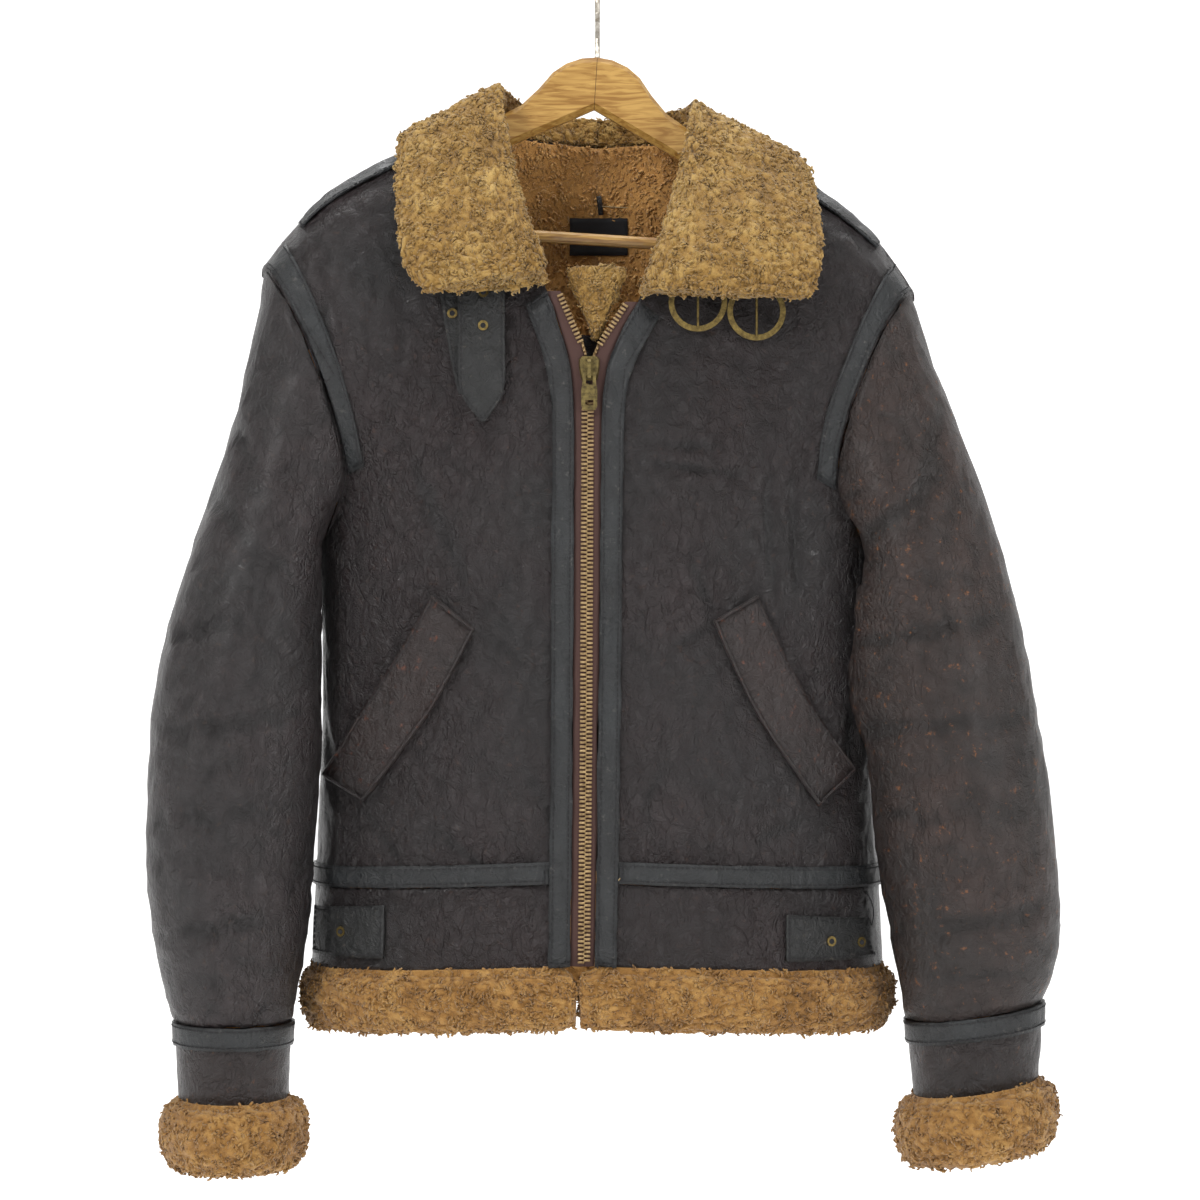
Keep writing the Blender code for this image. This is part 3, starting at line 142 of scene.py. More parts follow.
for socket, value in (("Base Color", (0.9, 0.9, 0.9, 1)), ("Roughness", 1.0),
                      ("Emission Color", (1, 1, 1, 1)), ("Emission Strength", 0.52)):
    glow.node_tree.nodes["Principled BSDF"].inputs[socket].default_value = value
paper.data.materials.append(glow)


def area_light(name, place, aim, size, power, colour=(1, 1, 1)):
    light = bpy.data.lights.new(name, "AREA")
    light.shape = "DISK"
    light.size, light.energy, light.color = size, power, colour
    lamp = linked(name, light)
    lamp.location = place
    lamp.rotation_euler = (Vector(aim) - Vector(place)).to_track_quat("-Z", "Y").to_euler()


area_light("key", (-1.5, -2.0, 0.9), (0, 0, -0.45), 0.9, 40)
area_light("fill", (1.7, -1.9, -0.1), (0, 0, -0.5), 1.2, 18)
area_light("top", (0.1, -0.5, 1.2), (0, 0, -0.4), 1.1, 16)
area_light("behind", (0.0, 1.1, 0.9), (0, 0.1, -0.4), 1.0, 14)
world = bpy.data.worlds.new("studio")
world.use_nodes = True
world.node_tree.nodes["Background"].inputs["Color"].default_value = (1.0, 0.985, 0.965, 1)
world.node_tree.nodes["Background"].inputs["Strength"].default_value = 0.42
bpy.context.scene.world = world
bpy.context.scene.view_settings.view_transform = "Standard"
print("studio: paper sweep and 4 lights")

# %% [markdown]
# Materials are built from a few shared effects. Each effect is a node group, made once, with
# its own named inputs, so that every leather can use the same grain at its own strength.
# The helpers below add a node and join sockets in one line.

# %% Node helpers
def rgb(red, green, blue):
    """A colour as read off the photograph, 0 to 255, in the linear values that shaders use."""
    return tuple(c / 12.92 if c <= 0.04045 else ((c + 0.055) / 1.055) ** 2.4
                 for c in (value / 255 for value in (red, green, blue))) + (1.0,)


def fill(node, values):
    for key, value in values.items():
        node.inputs[key].default_value = value
    return node


def add_node(tree, kind, values={}, **settings):
    node = tree.nodes.new("ShaderNode" + kind)
    for key, value in settings.items():
        setattr(node, key, value)
    return fill(node, values)


def principled(name, values={}):
    """A material with its tree and its shader, whose sockets take the values."""
    made = bpy.data.materials.new(name)
    made.use_nodes = True
    return made, made.node_tree, fill(made.node_tree.nodes["Principled BSDF"], values)


def colour_ramp(tree, *stops):
    """A ramp from its first stop to its last: each is a place and a colour read off the photograph."""
    node = add_node(tree, "ValToRGB")
    ends = node.color_ramp.elements
    for element, (place, colour) in zip(ends, (stops[0], stops[-1])):
        element.position, element.color = place, rgb(*colour)
    for place, colour in stops[1:-1]:
        ends.new(place).color = rgb(*colour)
    return node


def join(tree, *pairs):
    """Links, each given as a node, its output, a node and its input."""
    for source, output, target, entry in pairs:
        tree.links.new(source.outputs[output], target.inputs[entry])


def effect(name, inputs, outputs):
    """An empty node group with its sockets: each is a name, a socket type and a default."""
    group = bpy.data.node_groups.new(name, "ShaderNodeTree")
    for label, kind, default in inputs:
        socket = group.interface.new_socket(label, in_out="INPUT", socket_type=kind)
        if default is not None:
            socket.default_value = default
    for label, kind in outputs:
        group.interface.new_socket(label, in_out="OUTPUT", socket_type=kind)
    return group, group.nodes.new("NodeGroupInput"), group.nodes.new("NodeGroupOutput")


FLOAT, COLOUR = "NodeSocketFloat", "NodeSocketColor"

# %% [markdown]
# Patina is the slow change of colour over a hide: some skin takes the dye deeper, some has
# rubbed pale. Two noises of different size blend three shades. The mesh carries a value called
# rub, high on ridges and low in creases, and it lightens the ridges and darkens the creases.

# %% Patina
patina, start, end = effect(
    "patina",
    [("Base", COLOUR, (0.1, 0.08, 0.07, 1)), ("Dark", COLOUR, (0.03, 0.03, 0.03, 1)),
     ("Worn", COLOUR, (0.3, 0.2, 0.1, 1)), ("Scale", FLOAT, 9.0), ("Wear", FLOAT, 0.3)],
    [("Color", COLOUR), ("Wear", FLOAT)])
place = add_node(patina, "TexCoord")
clouds = add_node(patina, "TexNoise", {"Detail": 5.0, "Roughness": 0.6})
specks = add_node(patina, "TexNoise", {"Scale": 170.0, "Detail": 4.0, "Roughness": 0.7})
rub = add_node(patina, "Attribute", attribute_name="rub")
depth = add_node(patina, "MapRange", {"From Min": 0.30, "From Max": 0.72})
shade = add_node(patina, "Mix", data_type="RGBA")
sunk = add_node(patina, "MapRange", {"From Min": -0.2, "From Max": -1.6, "To Max": 0.8})
creased = add_node(patina, "Mix", data_type="RGBA")
ridge = add_node(patina, "MapRange", {"From Min": -0.2, "From Max": 1.6})
lifted = add_node(patina, "Math", {1: 0.10}, operation="MULTIPLY_ADD")
picked = add_node(patina, "MapRange", {"From Min": 0.62, "From Max": 0.76})
scaled = add_node(patina, "Math", operation="MULTIPLY")
rubbed = add_node(patina, "Mix", data_type="RGBA")
join(patina, (place, "Object", clouds, "Vector"), (start, "Scale", clouds, "Scale"),
     (place, "Object", specks, "Vector"), (clouds, "Fac", depth, "Value"),
     (depth, "Result", shade, "Factor"), (start, "Dark", shade, "A"),
     (start, "Base", shade, "B"), (rub, "Fac", sunk, "Value"),
     (sunk, "Result", creased, "Factor"), (shade, "Result", creased, "A"),
     (start, "Dark", creased, "B"), (rub, "Fac", ridge, "Value"),
     (ridge, "Result", lifted, 0), (specks, "Fac", lifted, 2),
     (lifted, "Value", picked, "Value"), (picked, "Result", scaled, 0),
     (start, "Wear", scaled, 1), (scaled, "Value", rubbed, "Factor"),
     (creased, "Result", rubbed, "A"), (start, "Worn", rubbed, "B"),
     (rubbed, "Result", end, "Color"), (scaled, "Value", end, "Wear"))
print("effect: patina")

# %% [markdown]
# Grain is the fine pebbled skin of the hide. Cells about a millimetre wide make the pebbles, and
# a soft noise lays dry folds over them. Old sheepskin also has a web of hairline creases.
# A noise crosses its middle value along winding lines, so its distance from that value, cut
# off early, gives a narrow valley along each of them. They come in patches, as on the real hide.
# The group puts out one height, which each leather feeds to its own Bump node, and a mask of the
# valleys, in which the colour is painted darker.

# %% Grain
grain, start, end = effect(
    "hide_grain", [("Pebble", FLOAT, 900.0), ("Crease", FLOAT, 0.7), ("Web", FLOAT, 1.0)],
    [("Height", FLOAT), ("Valley", FLOAT)])
place = add_node(grain, "TexCoord")
pebbles = add_node(grain, "TexVoronoi", {"Randomness": 1.0}, feature="DISTANCE_TO_EDGE")
flat = add_node(grain, "MapRange", {"From Max": 0.12})
folds = add_node(grain, "TexNoise", {"Scale": 95.0, "Detail": 6.0, "Roughness": 0.65, "Distortion": 0.8})
sharp = add_node(grain, "MapRange", {"From Min": 0.36, "From Max": 0.64})
bend = add_node(grain, "Math", operation="MULTIPLY")
total = add_node(grain, "Math", {1: 0.10}, operation="MULTIPLY_ADD")
join(grain, (place, "Object", pebbles, "Vector"), (start, "Pebble", pebbles, "Scale"),
     (pebbles, "Distance", flat, "Value"), (place, "Object", folds, "Vector"),
     (folds, "Fac", sharp, "Value"), (sharp, "Result", bend, 0),
     (start, "Crease", bend, 1), (flat, "Result", total, 0),
     (bend, "Value", total, 2))
patches = add_node(grain, "TexNoise", {"Scale": 9.0, "Detail": 2.0})
mask = add_node(grain, "MapRange", {"From Min": 0.40, "From Max": 0.62, "To Min": 0.15, "To Max": 1.0})
amount = add_node(grain, "Math", operation="MULTIPLY")
squeeze = add_node(grain, "Mapping", {"Scale": (1.0, 1.0, 0.62)})
join(grain, (place, "Object", patches, "Vector"), (patches, "Fac", mask, "Value"),
     (mask, "Result", amount, 0), (start, "Web", amount, 1),
     (place, "Object", squeeze, "Vector"))
height, valley = (total, "Value"), None
for size, detail, wide in ((38.0, 4.0, 0.022), (95.0, 3.0, 0.035)):
    lines = add_node(grain, "TexNoise",
                     {"Scale": size, "Detail": detail, "Roughness": 0.55, "Distortion": 0.35})
    centred = add_node(grain, "Math", {1: 0.5}, operation="SUBTRACT")
    distance = add_node(grain, "Math", operation="ABSOLUTE")
    line_height = add_node(grain, "MapRange", {"From Max": wide}, interpolation_type="SMOOTHSTEP")
    weighed = add_node(grain, "Math", operation="MULTIPLY_ADD")
    join(grain, (squeeze, "Vector", lines, "Vector"), (lines, "Fac", centred, 0),
         (centred, "Value", distance, 0), (distance, "Value", line_height, "Value"),
         (line_height, "Result", weighed, 0), (amount, "Value", weighed, 1),
         (*height, weighed, 2))
    height = (weighed, "Value")
    valley = valley or (line_height, "Result")
join(grain, (*height, end, "Height"), (*valley, end, "Valley"))
print("effect: hide_grain")

# %% [markdown]
# A leather is then one Principled shader: colour from the patina, and shine that drops where
# the skin has rubbed. The body hide is a nearly black brown with a soft polish. The tapes and
# straps are another skin, blue-grey and drier.

# %% Leathers
def place_effect(tree, group, **values):
    return fill(add_node(tree, "Group", node_tree=group), values)


def leather(name, base, dark, worn, wear, shine, bump=1.0, scale=9.0, web=0.5):
    made, tree, shader = principled(
        name, {"Specular IOR Level": 0.5, "Coat Weight": 0.10, "Coat Roughness": 0.35})
    tone = place_effect(tree, patina, Base=rgb(*base), Dark=rgb(*dark), Worn=rgb(*worn),
                        Wear=wear, Scale=scale)
    relief = place_effect(tree, grain, Crease=0.9, Web=web)
    # The colour is painted darker along the grain's valleys.
    sink = add_node(tree, "MapRange", {"To Min": 0.80, "To Max": 1.0})
    valley_darkened = add_node(tree, "Mix", {"Factor": 1.0}, data_type="RGBA", blend_type="MULTIPLY",
                    clamp_factor=True)
    push = add_node(tree, "Bump", {"Strength": bump, "Distance": 0.0020})
    polish = add_node(tree, "MapRange", {"To Min": shine, "To Max": min(1.0, shine + 0.25)})
    join(tree, (relief, "Valley", sink, "Value"), (tone, "Color", valley_darkened, "A"),
         (sink, "Result", valley_darkened, "B"), (valley_darkened, "Result", shader, "Base Color"),
         (relief, "Height", push, "Height"), (push, "Normal", shader, "Normal"),
         (tone, "Wear", polish, "Value"), (polish, "Result", shader, "Roughness"))
    return made


body_hide = leather("body_hide", (36, 25, 26), (15, 11, 12), (88, 56, 38), 0.35, 0.30)
left_hide = leather("left_sleeve_hide", (42, 32, 33), (19, 15, 16), (92, 68, 52), 0.35, 0.32)
right_hide = leather("right_sleeve_hide", (52, 36, 31), (22, 16, 14), (150, 94, 50), 0.85, 0.37)
tape_hide = leather("tape_hide", (27, 31, 33), (11, 12, 14), (112, 108, 102), 0.50, 0.40, 0.7, 20.0, 0.25)
strap_hide = leather("strap_hide", (20, 21, 21), (7, 8, 8), (112, 104, 92), 0.45, 0.38, 0.7, 20.0, 0.25)
cuff_hide = leather("cuff_hide", (42, 31, 30), (18, 14, 14), (122, 82, 56), 0.55, 0.37)
welt_hide = leather("welt_hide", (40, 25, 22), (16, 11, 11), (134, 74, 46), 0.60, 0.30, 0.8, 9.0, 0.3)
print("leathers: 7")

# %% [markdown]
# Wool is not one yellow. Each lock has its own tone, it is painted darker at its root, where it lies in
# shade, and lighter towards its tip, and whole areas are browner than others. The mesh carries tone, from 0 at a
# root or a dark lock to 1 at a light tip. A sheen stands for the fine hairs that catch the light.

# %% Wool
def wool(name, dark, middle, light):
    made, tree, shader = principled(name, {"Roughness": 0.85, "Specular IOR Level": 0.15,
                                           "Sheen Weight": 0.25, "Sheen Roughness": 0.5})
    place = add_node(tree, "TexCoord")
    clouds = add_node(tree, "TexNoise", {"Scale": 26.0, "Detail": 4.0, "Roughness": 0.6})
    tone = add_node(tree, "Attribute", attribute_name="tone")
    shift = add_node(tree, "Math", {1: 0.9}, operation="MULTIPLY_ADD")
    back = add_node(tree, "Math", {1: 0.45}, operation="SUBTRACT")
    ramp = colour_ramp(tree, (0.05, dark), (0.5, middle), (0.95, light))
    curls = add_node(tree, "TexNoise",
                     {"Scale": 330.0, "Detail": 5.0, "Roughness": 0.65, "Distortion": 1.2})
    push = add_node(tree, "Bump", {"Strength": 0.9, "Distance": 0.0016})
    join(tree, (place, "Object", curls, "Vector"), (curls, "Fac", push, "Height"),
         (push, "Normal", shader, "Normal"), (place, "Object", clouds, "Vector"), (clouds, "Fac", shift, 0),
         (tone, "Fac", shift, 2), (shift, "Value", back, 0),
         (back, "Value", ramp, "Fac"), (ramp, "Color", shader, "Base Color"))
    return made


collar_wool = wool("collar_wool", (90, 63, 29), (144, 111, 56), (184, 153, 92))
hem_wool = wool("hem_wool", (88, 59, 27), (146, 106, 55), (182, 143, 84))
# The lining's colours are painted lighter than the collar's and the hem's, to make up for the shade it lies in inside
# the jacket.
lining_wool = wool("lining_wool", (120, 84, 44), (194, 146, 84), (232, 190, 122))
print("wools: 3")

# %% [markdown]
# The small hard parts are old brass: dull and brown in the hollows, brighter where hands and
# straps have rubbed it. The hanger is varnished wood with its grain along X, so the noise that
# draws the grain is squeezed along that axis.

# %% Metal, wood and cloth
def brass(name, bright, dull, rough):
    made, tree, shader = principled(name, {"Metallic": 0.85})
    place = add_node(tree, "TexCoord")
    spots = add_node(tree, "TexNoise", {"Scale": 260.0, "Detail": 6.0, "Roughness": 0.7})
    blend = colour_ramp(tree, (0.35, dull), (0.66, bright))
    haze = add_node(tree, "MapRange",
                    {"From Min": 0.3, "From Max": 0.7, "To Min": rough + 0.2, "To Max": rough})
    join(tree, (place, "Object", spots, "Vector"), (spots, "Fac", blend, "Fac"),
         (blend, "Color", shader, "Base Color"), (spots, "Fac", haze, "Value"),
         (haze, "Result", shader, "Roughness"))
    return made


def varnished_wood():
    made, tree, shader = principled("varnished_wood", {"Roughness": 0.32, "Coat Weight": 0.4})
    place = add_node(tree, "TexCoord")
    squeeze = add_node(tree, "Mapping", {"Scale": (6.0, 60.0, 60.0)})
    rings = add_node(tree, "TexNoise", {"Scale": 5.0, "Detail": 5.0, "Distortion": 1.2})
    blend = colour_ramp(tree, (0.38, (140, 100, 44)), (0.62, (182, 144, 78)))
    join(tree, (place, "Object", squeeze, "Vector"), (squeeze, "Vector", rings, "Vector"),
         (rings, "Fac", blend, "Fac"), (blend, "Color", shader, "Base Color"))
    return made


def cloth(name, light, dark, threads):
    """Woven cloth: two crossed bands, one for each set of threads."""
    made, tree, shader = principled(name, {"Roughness": 0.85})
    place = add_node(tree, "TexCoord")
    ways = [add_node(tree, "TexWave", {"Scale": threads}, bands_direction=way) for way in ("X", "Z")]
    cross = add_node(tree, "Mix", {"Factor": 0.5}, data_type="FLOAT")
    tone = add_node(tree, "Mix", {"A": rgb(*dark), "B": rgb(*light)}, data_type="RGBA")
    push = add_node(tree, "Bump", {"Strength": 0.5, "Distance": 0.0003})
    join(tree, *((place, "Object", way, "Vector") for way in ways),
         (ways[0], "Fac", cross, "A"), (ways[1], "Fac", cross, "B"),
         (cross, "Result", tone, "Factor"), (tone, "Result", shader, "Base Color"),
         (cross, "Result", push, "Height"), (push, "Normal", shader, "Normal"))
    return made


ring_brass = brass("ring_brass", (150, 130, 76), (84, 70, 44), 0.38)
slider_brass = brass("slider_brass", (142, 126, 78), (72, 62, 42), 0.4)
tooth_brass = brass("tooth_brass", (186, 160, 118), (120, 98, 68), 0.42)
hook_steel = brass("hook_steel", (205, 200, 190), (130, 120, 104), 0.25)
hanger_wood = varnished_wood()
zip_cloth = cloth("zip_cloth", (84, 56, 50), (52, 34, 30), 900.0)
label_cloth_and_hole_shade = cloth("label_cloth_and_hole_shade", (26, 26, 30), (10, 10, 12), 700.0)
dark_thread = cloth("dark_thread", (40, 38, 40), (20, 19, 21), 1500.0)
pale_thread = cloth("pale_thread", (188, 168, 128), (140, 118, 80), 1500.0)
HARD = {
    ring_brass: ("ring_buckle_a", "ring_buckle_b", "prong_a", "prong_b",
                 *(f"eyelet_{count}" for count in range(1, 7))),
    slider_brass: ("zip_slider", "zip_pull"), hook_steel: ("hanger_hook",),
    hanger_wood: ("hanger_yoke_l", "hanger_yoke_r", "hanger_bar"),
}
for finish, names in HARD.items():
    for node in names:
        nodes[node].data.materials.clear()
        nodes[node].data.materials.append(finish)
print("hard pieces painted:", sum(len(names) for names in HARD.values()))

# %% [markdown]
# The hanger's two halves meet in the middle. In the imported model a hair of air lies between
# them. On the real hanger that is a line of dark glue, so a thin slab joins the two end faces.

# %% Glue line
shape = bmesh.new()
for node in ("hanger_yoke_l", "hanger_yoke_r"):
    ends = {tuple(point.co) for point in nodes[node].data.vertices if abs(point.co.x) < 0.003}
    for place in sorted(ends):
        shape.verts.new(place)
bmesh.ops.convex_hull(shape, input=shape.verts)
bmesh.ops.recalc_face_normals(shape, faces=shape.faces)
print("glue line:", len(shape.verts), "points,", len(shape.faces), "faces")
on_root("yoke_glue", shape, cloth("dark_glue", (70, 46, 24), (46, 30, 16), 300.0))

# %% [markdown]
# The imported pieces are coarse: flat triangles, with folds only where they are large. A shell is
# a soft copy of such a piece. Its triangles are joined to quads again, its sharp rims are
# creased, and a subdivision surface rounds the rest. The hide has two sides: a face belongs to
# the leather side if it looks away from the middle of the trunk or of the arm.

# %% Shells
SHARP = math.radians(44)


def soft_copy(node):
    """The node's mesh with its doubles merged and its triangles joined in pairs."""
    shape = bmesh.new()
    shape.from_mesh(nodes[node].data)
    bmesh.ops.remove_doubles(shape, verts=shape.verts, dist=1e-6)
    flat = [face for face in shape.faces if len(face.verts) == 3]
    bmesh.ops.join_triangles(shape, faces=flat, angle_face_threshold=math.radians(38),
                             angle_shape_threshold=math.pi)
    shape.normal_update()
    return shape


ARM_DOWN, ARM_X, ARM_Y = (.350, .450, .620, .900), (.232, .262, .275, .276), (-.020, -.040, -.055, -.064)
CUFF_X, CUFF_Y, TRUNK_Y, TOP_Z = .276, -.064, -.005, -.30


def looks_out(centre, normal, node):
    """True on the leather side and the rims: only a normal that points back to the trunk's or the
    arm's middle is on the wool side."""
    x, y, z = centre
    if node.startswith(("sleeve", "cuff")):
        middle = Vector((math.copysign(np.interp(-z, ARM_DOWN, ARM_X), x), np.interp(-z, ARM_DOWN, ARM_Y),
                         min(z, TOP_Z)))
    else:
        middle = Vector((0.35 * x, TRUNK_Y, min(z, TOP_Z)))
    return (centre - middle).normalized().dot(normal) > -0.30


def crease_rims(shape, strength=1.0):
    layer = shape.edges.layers.float.new("crease_edge")
    for edge in shape.edges:
        if edge.calc_face_angle(0.0) > SHARP:
            edge[layer] = strength


def subdivided(name, shape, levels):
    """A new object with the shape rounded by a subdivision surface that is already applied."""
    made = linked(name, shape)
    coarse = made.data
    rounder = made.modifiers.new("round", "SUBSURF")
    rounder.levels = rounder.render_levels = levels
    seen = made.evaluated_get(bpy.context.evaluated_depsgraph_get())
    finished = bpy.data.meshes.new_from_object(seen)
    made.modifiers.clear()
    made.data = finished
    bpy.data.meshes.remove(coarse)
    made.data.shade_smooth()
    return made


def surface(made):
    return BVHTree.FromPolygons([point.co for point in made.data.vertices],
                                [face.vertices for face in made.data.polygons])


print("helpers: shells")

# %% [markdown]
# Worn sheepskin wrinkles in two ways. All over it has shallow pillows with narrow valleys
# between them, because the thick wool holds the skin off the folds. A noise whose absolute value
# is taken gives just that: rounded tops that meet in sharp lines. On a sleeve the pillows are
# squeezed along the arm. The second way is single creases, which are listed where the
# photograph shows them, each as a line in the front view with a width and a depth.

# %% Wrinkles
CREASES = {
    "front_l": [(-.207, -.262, -.200, -.360, 11, 3.6), (-.178, -.645, -.150, -.682, 9, 2.2),
                (-.092, -.508, -.050, -.535, 9, 2.2), (-.088, -.500, -.060, -.462, 8, 1.8),
                (-.140, -.380, -.100, -.470, 14, 1.8), (-.060, -.600, -.030, -.660, 12, 1.6),
                (-.215, -.560, -.200, -.640, 10, 1.8), (-.120, -.660, -.080, -.690, 10, 2.0)],
    "front_r": [(.127, -.394, .133, -.486, 8, 2.6), (.147, -.398, .152, -.490, 8, 2.4),
                (.022, -.366, .105, -.373, 8, 1.8), (.024, -.382, .110, -.391, 8, 2.0),
                (.090, -.503, .050, -.525, 9, 2.0), (.088, -.498, .070, -.455, 8, 1.8),
                (.168, -.645, .120, -.668, 10, 2.2), (.212, -.330, .200, -.440, 12, 3.0),
                (.060, -.590, .030, -.650, 12, 1.6), (.196, -.560, .190, -.620, 10, 1.6)],
    "sleeve_l": [(-.338, -.518, -.262, -.500, 10, 3.4), (-.334, -.585, -.224, -.572, 11, 3.4),
                 (-.336, -.652, -.232, -.640, 11, 3.2), (-.326, -.735, -.236, -.722, 11, 3.2),
                 (-.300, -.400, -.236, -.462, 12, 3.0), (-.320, -.770, -.240, -.762, 8, 2.0),
                 (-.285, -.330, -.250, -.420, 12, 2.2)],
    "sleeve_r": [(.186, -.520, .300, -.500, 10, 3.4), (.196, -.584, .332, -.572, 11, 3.6),
                 (.214, -.650, .340, -.636, 11, 3.2), (.222, -.734, .345, -.716, 11, 3.2),
                 (.200, -.440, .262, -.388, 12, 3.0), (.240, -.770, .330, -.758, 8, 2.0),
                 (.262, -.330, .240, -.420, 12, 2.2)],
    "back_l": [(-.200, -.300, -.060, -.390, 16, 2.4), (-.190, -.560, -.080, -.610, 16, 2.2)],
    "back_r": [(.200, -.300, .060, -.380, 16, 2.4), (.190, -.550, .070, -.620, 16, 2.2)],
}


def pillows(point, width, along):
    """Rounded tops near 1 and sharp valleys near 0, stretched along one axis."""
    spot = Vector((point[0] / width, point[1] / width, point[2] / (width * along)))
    broad = min(1.0, abs(noise.noise(spot)) * 2.6)
    fine = min(1.0, abs(noise.noise(spot * 2.3 + Vector((7, 3, 1)))) * 2.6)
    return 0.65 * broad ** 0.7 + 0.35 * fine ** 0.7


def crease_depth(creases, x, z):
    """Millimetres below the skin: each crease is a valley with a raised lip on both sides."""
    depth = np.zeros(len(x))
    for x0, z0, x1, z1, width, deep in creases:
        run = np.array((x1 - x0, z1 - z0))
        share = np.clip(((x - x0) * run[0] + (z - z0) * run[1]) / float(run @ run), 0, 1)
        gap = np.hypot(x - x0 - share * run[0], z - z0 - share * run[1]) / (width * MM)
        section = 1.35 * np.exp(-(2.2 * gap) ** 2) - 0.35 * np.exp(-(0.9 * gap) ** 2)
        depth += deep * np.sin(math.pi * (0.08 + 0.84 * share)) * section
    return depth


def wrinkle(made, size, width, along, creases=(), lift=0.0):
    """Move every point along its normal, except away from a seam in the middle, and keep how
    high it stands in the value rub."""
    mesh = made.data
    points, normals = read(mesh.vertices, "co"), read(mesh.vertices, "normal")
    tops = np.array([pillows(point, width, along) for point in points])
    fall = (tops - 0.75) * size
    facing = normals[:, 1] if made.name.startswith("back") else -normals[:, 1]
    cut = crease_depth(creases, points[:, 0], points[:, 2]) * np.clip(facing * 2.5, 0, 1)
    height = fall - cut + lift
    middle = np.abs(points[:, 0]) < 0.0007
    points[:, 0] += np.where(middle, -1.6 * points[:, 0], normals[:, 0] * height * MM)
    points[:, 1:] += normals[:, 1:] * height[:, None] * MM
    mesh.vertices.foreach_set("co", points.ravel())
    rub = mesh.attributes.new("rub", "FLOAT", "POINT")
    rub.data.foreach_set("value", (fall - cut).astype(np.float32))
    mesh.update()
    return made


print("creases placed by hand:", sum(len(rows) for rows in CREASES.values()))

# %% [markdown]
# Now the leather pieces. The fronts are what the eye goes to, so they get one more level than
# the back and the sleeves. The inside of each is wool, so its inner skin takes the lining's
# colour. Each shell rides on the body root and stands for its node. A row gives the hide, the
# levels, the pillows' height in millimetres, their width, and their stretch along the piece.

# %% Leather shells
LEATHER = {
    "front": (body_hide, 3, 1.5, 0.026, 1.5), "back": (body_hide, 2, 1.1, 0.036, 1.6),
    "sleeve": (left_hide, 2, 2.4, 0.036, 0.5), "cuff": (cuff_hide, 2, 1.2, 0.024, 1.4),
    "waistband_front": (body_hide, 3, 0.8, 0.022, 1.2),
}
LEATHER = {f"{name}_{side}": row for name, row in LEATHER.items() for side in "lr"}
LEATHER["sleeve_r"] = (right_hide, *LEATHER["sleeve_r"][1:])
LEATHER["waistband_back"] = (body_hide, 2, 0.8, 0.024, 1.2)
LEATHER["wind_flap"] = (body_hide, 3, 0.8, 0.024, 1.2)
shells = {}


def set_tone(mesh, values):
    tone = mesh.attributes.new("tone", "FLOAT", "POINT")
    tone.data.foreach_set("value", np.asarray(values, dtype=np.float32))


def shell(node, finish, levels, size, width, along, lift=0.0):
    shape = soft_copy(node)
    crease_rims(shape)
    for face in shape.faces:
        rim = face.calc_area() < 0.0068 * max(edge.calc_length() for edge in face.edges)
        face.material_index = 0 if rim or looks_out(face.calc_center_median(), face.normal, node) else 1
    made = subdivided(node + "_shell", shape, levels)
    made.data.materials.append(finish)
    made.data.materials.append(lining_wool)
    wrinkle(made, size, width, along, CREASES.get(node, ()), lift)
    set_tone(made.data, np.full(len(made.data.vertices), 0.42))
    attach(made, "root")
    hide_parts(node)
    shells[node] = made
    return made


def close_armpit(made, sign):
    """Below the armhole the sleeve's skin is pressed against the body's side."""
    points = read(made.data.vertices, "co")
    near = np.hypot(np.abs(points[:, 0]) - 0.200, points[:, 2] + 0.400) / 0.034
    points[:, 0] -= sign * 4.5 * MM * np.clip(1 - near, 0, 1)
    made.data.vertices.foreach_set("co", points.ravel())
    made.data.update()


for node, (finish, levels, size, width, along) in LEATHER.items():
    made = shell(node, finish, levels, size, width, along)
    if node.startswith("sleeve"):
        close_armpit(made, -1 if node.endswith("l") else 1)
    print(made.name, len(made.data.polygons), "faces")

# %% [markdown]
# Tapes cover the seams: they are cut from the blue-grey skin, folded at their edges and sewn
# down on both sides. The straps and pocket welts lie on the leather in the same way. They take
# the same wrinkles as the leather below, so that they follow it, and are lifted a hair more.

# %% Tapes, straps and welts
LAID = {
    **{f"{name}_{side}": tape_hide for name in ("armhole_tape", "shoulder_tape", "waist_tape", "placket_tape")
       for side in "lr"},
    "waist_tape_back": tape_hide, "cuff_tape_l": tape_hide, "cuff_tape_r": tape_hide,
    **dict.fromkeys(("side_strap_l", "side_strap_r", "collar_strap_front", "collar_strap_behind",
                     "buckle_tab_a", "buckle_tab_b"), strap_hide),
    "pocket_welt_l": welt_hide, "pocket_welt_r": welt_hide,
    "zip_tape_l": zip_cloth, "zip_tape_r": zip_cloth, "neck_label": label_cloth_and_hole_shade,
}
FRONT_WRINKLES, SMALL_WRINKLES = (1.5, 0.026, 1.5), (0.35, 0.012, 1.3)
UNDER = {"armhole_tape": FRONT_WRINKLES, "shoulder_tape": FRONT_WRINKLES, "placket_tape": FRONT_WRINKLES,
         "waist_tape": (0.8, 0.022, 1.2), "cuff_tape": (1.2, 0.024, 1.4)}
for node, finish in LAID.items():
    size, width, along = UNDER.get(node.rsplit("_", 1)[0], SMALL_WRINKLES)
    made = shell(node, finish, 2, size, width, along, 0.25)
    made.data.materials[1] = finish
print("laid pieces:", len(LAID))

# %% [markdown]
# Wool grows in locks that curl together in clumps of about a centimetre. The clumps are made
# first: a copy of the piece, drawn in by most of the wool's length, with pillows pushed out of
# it. Where a bed meets the next piece it is held to it, so that no slit opens at the seam.

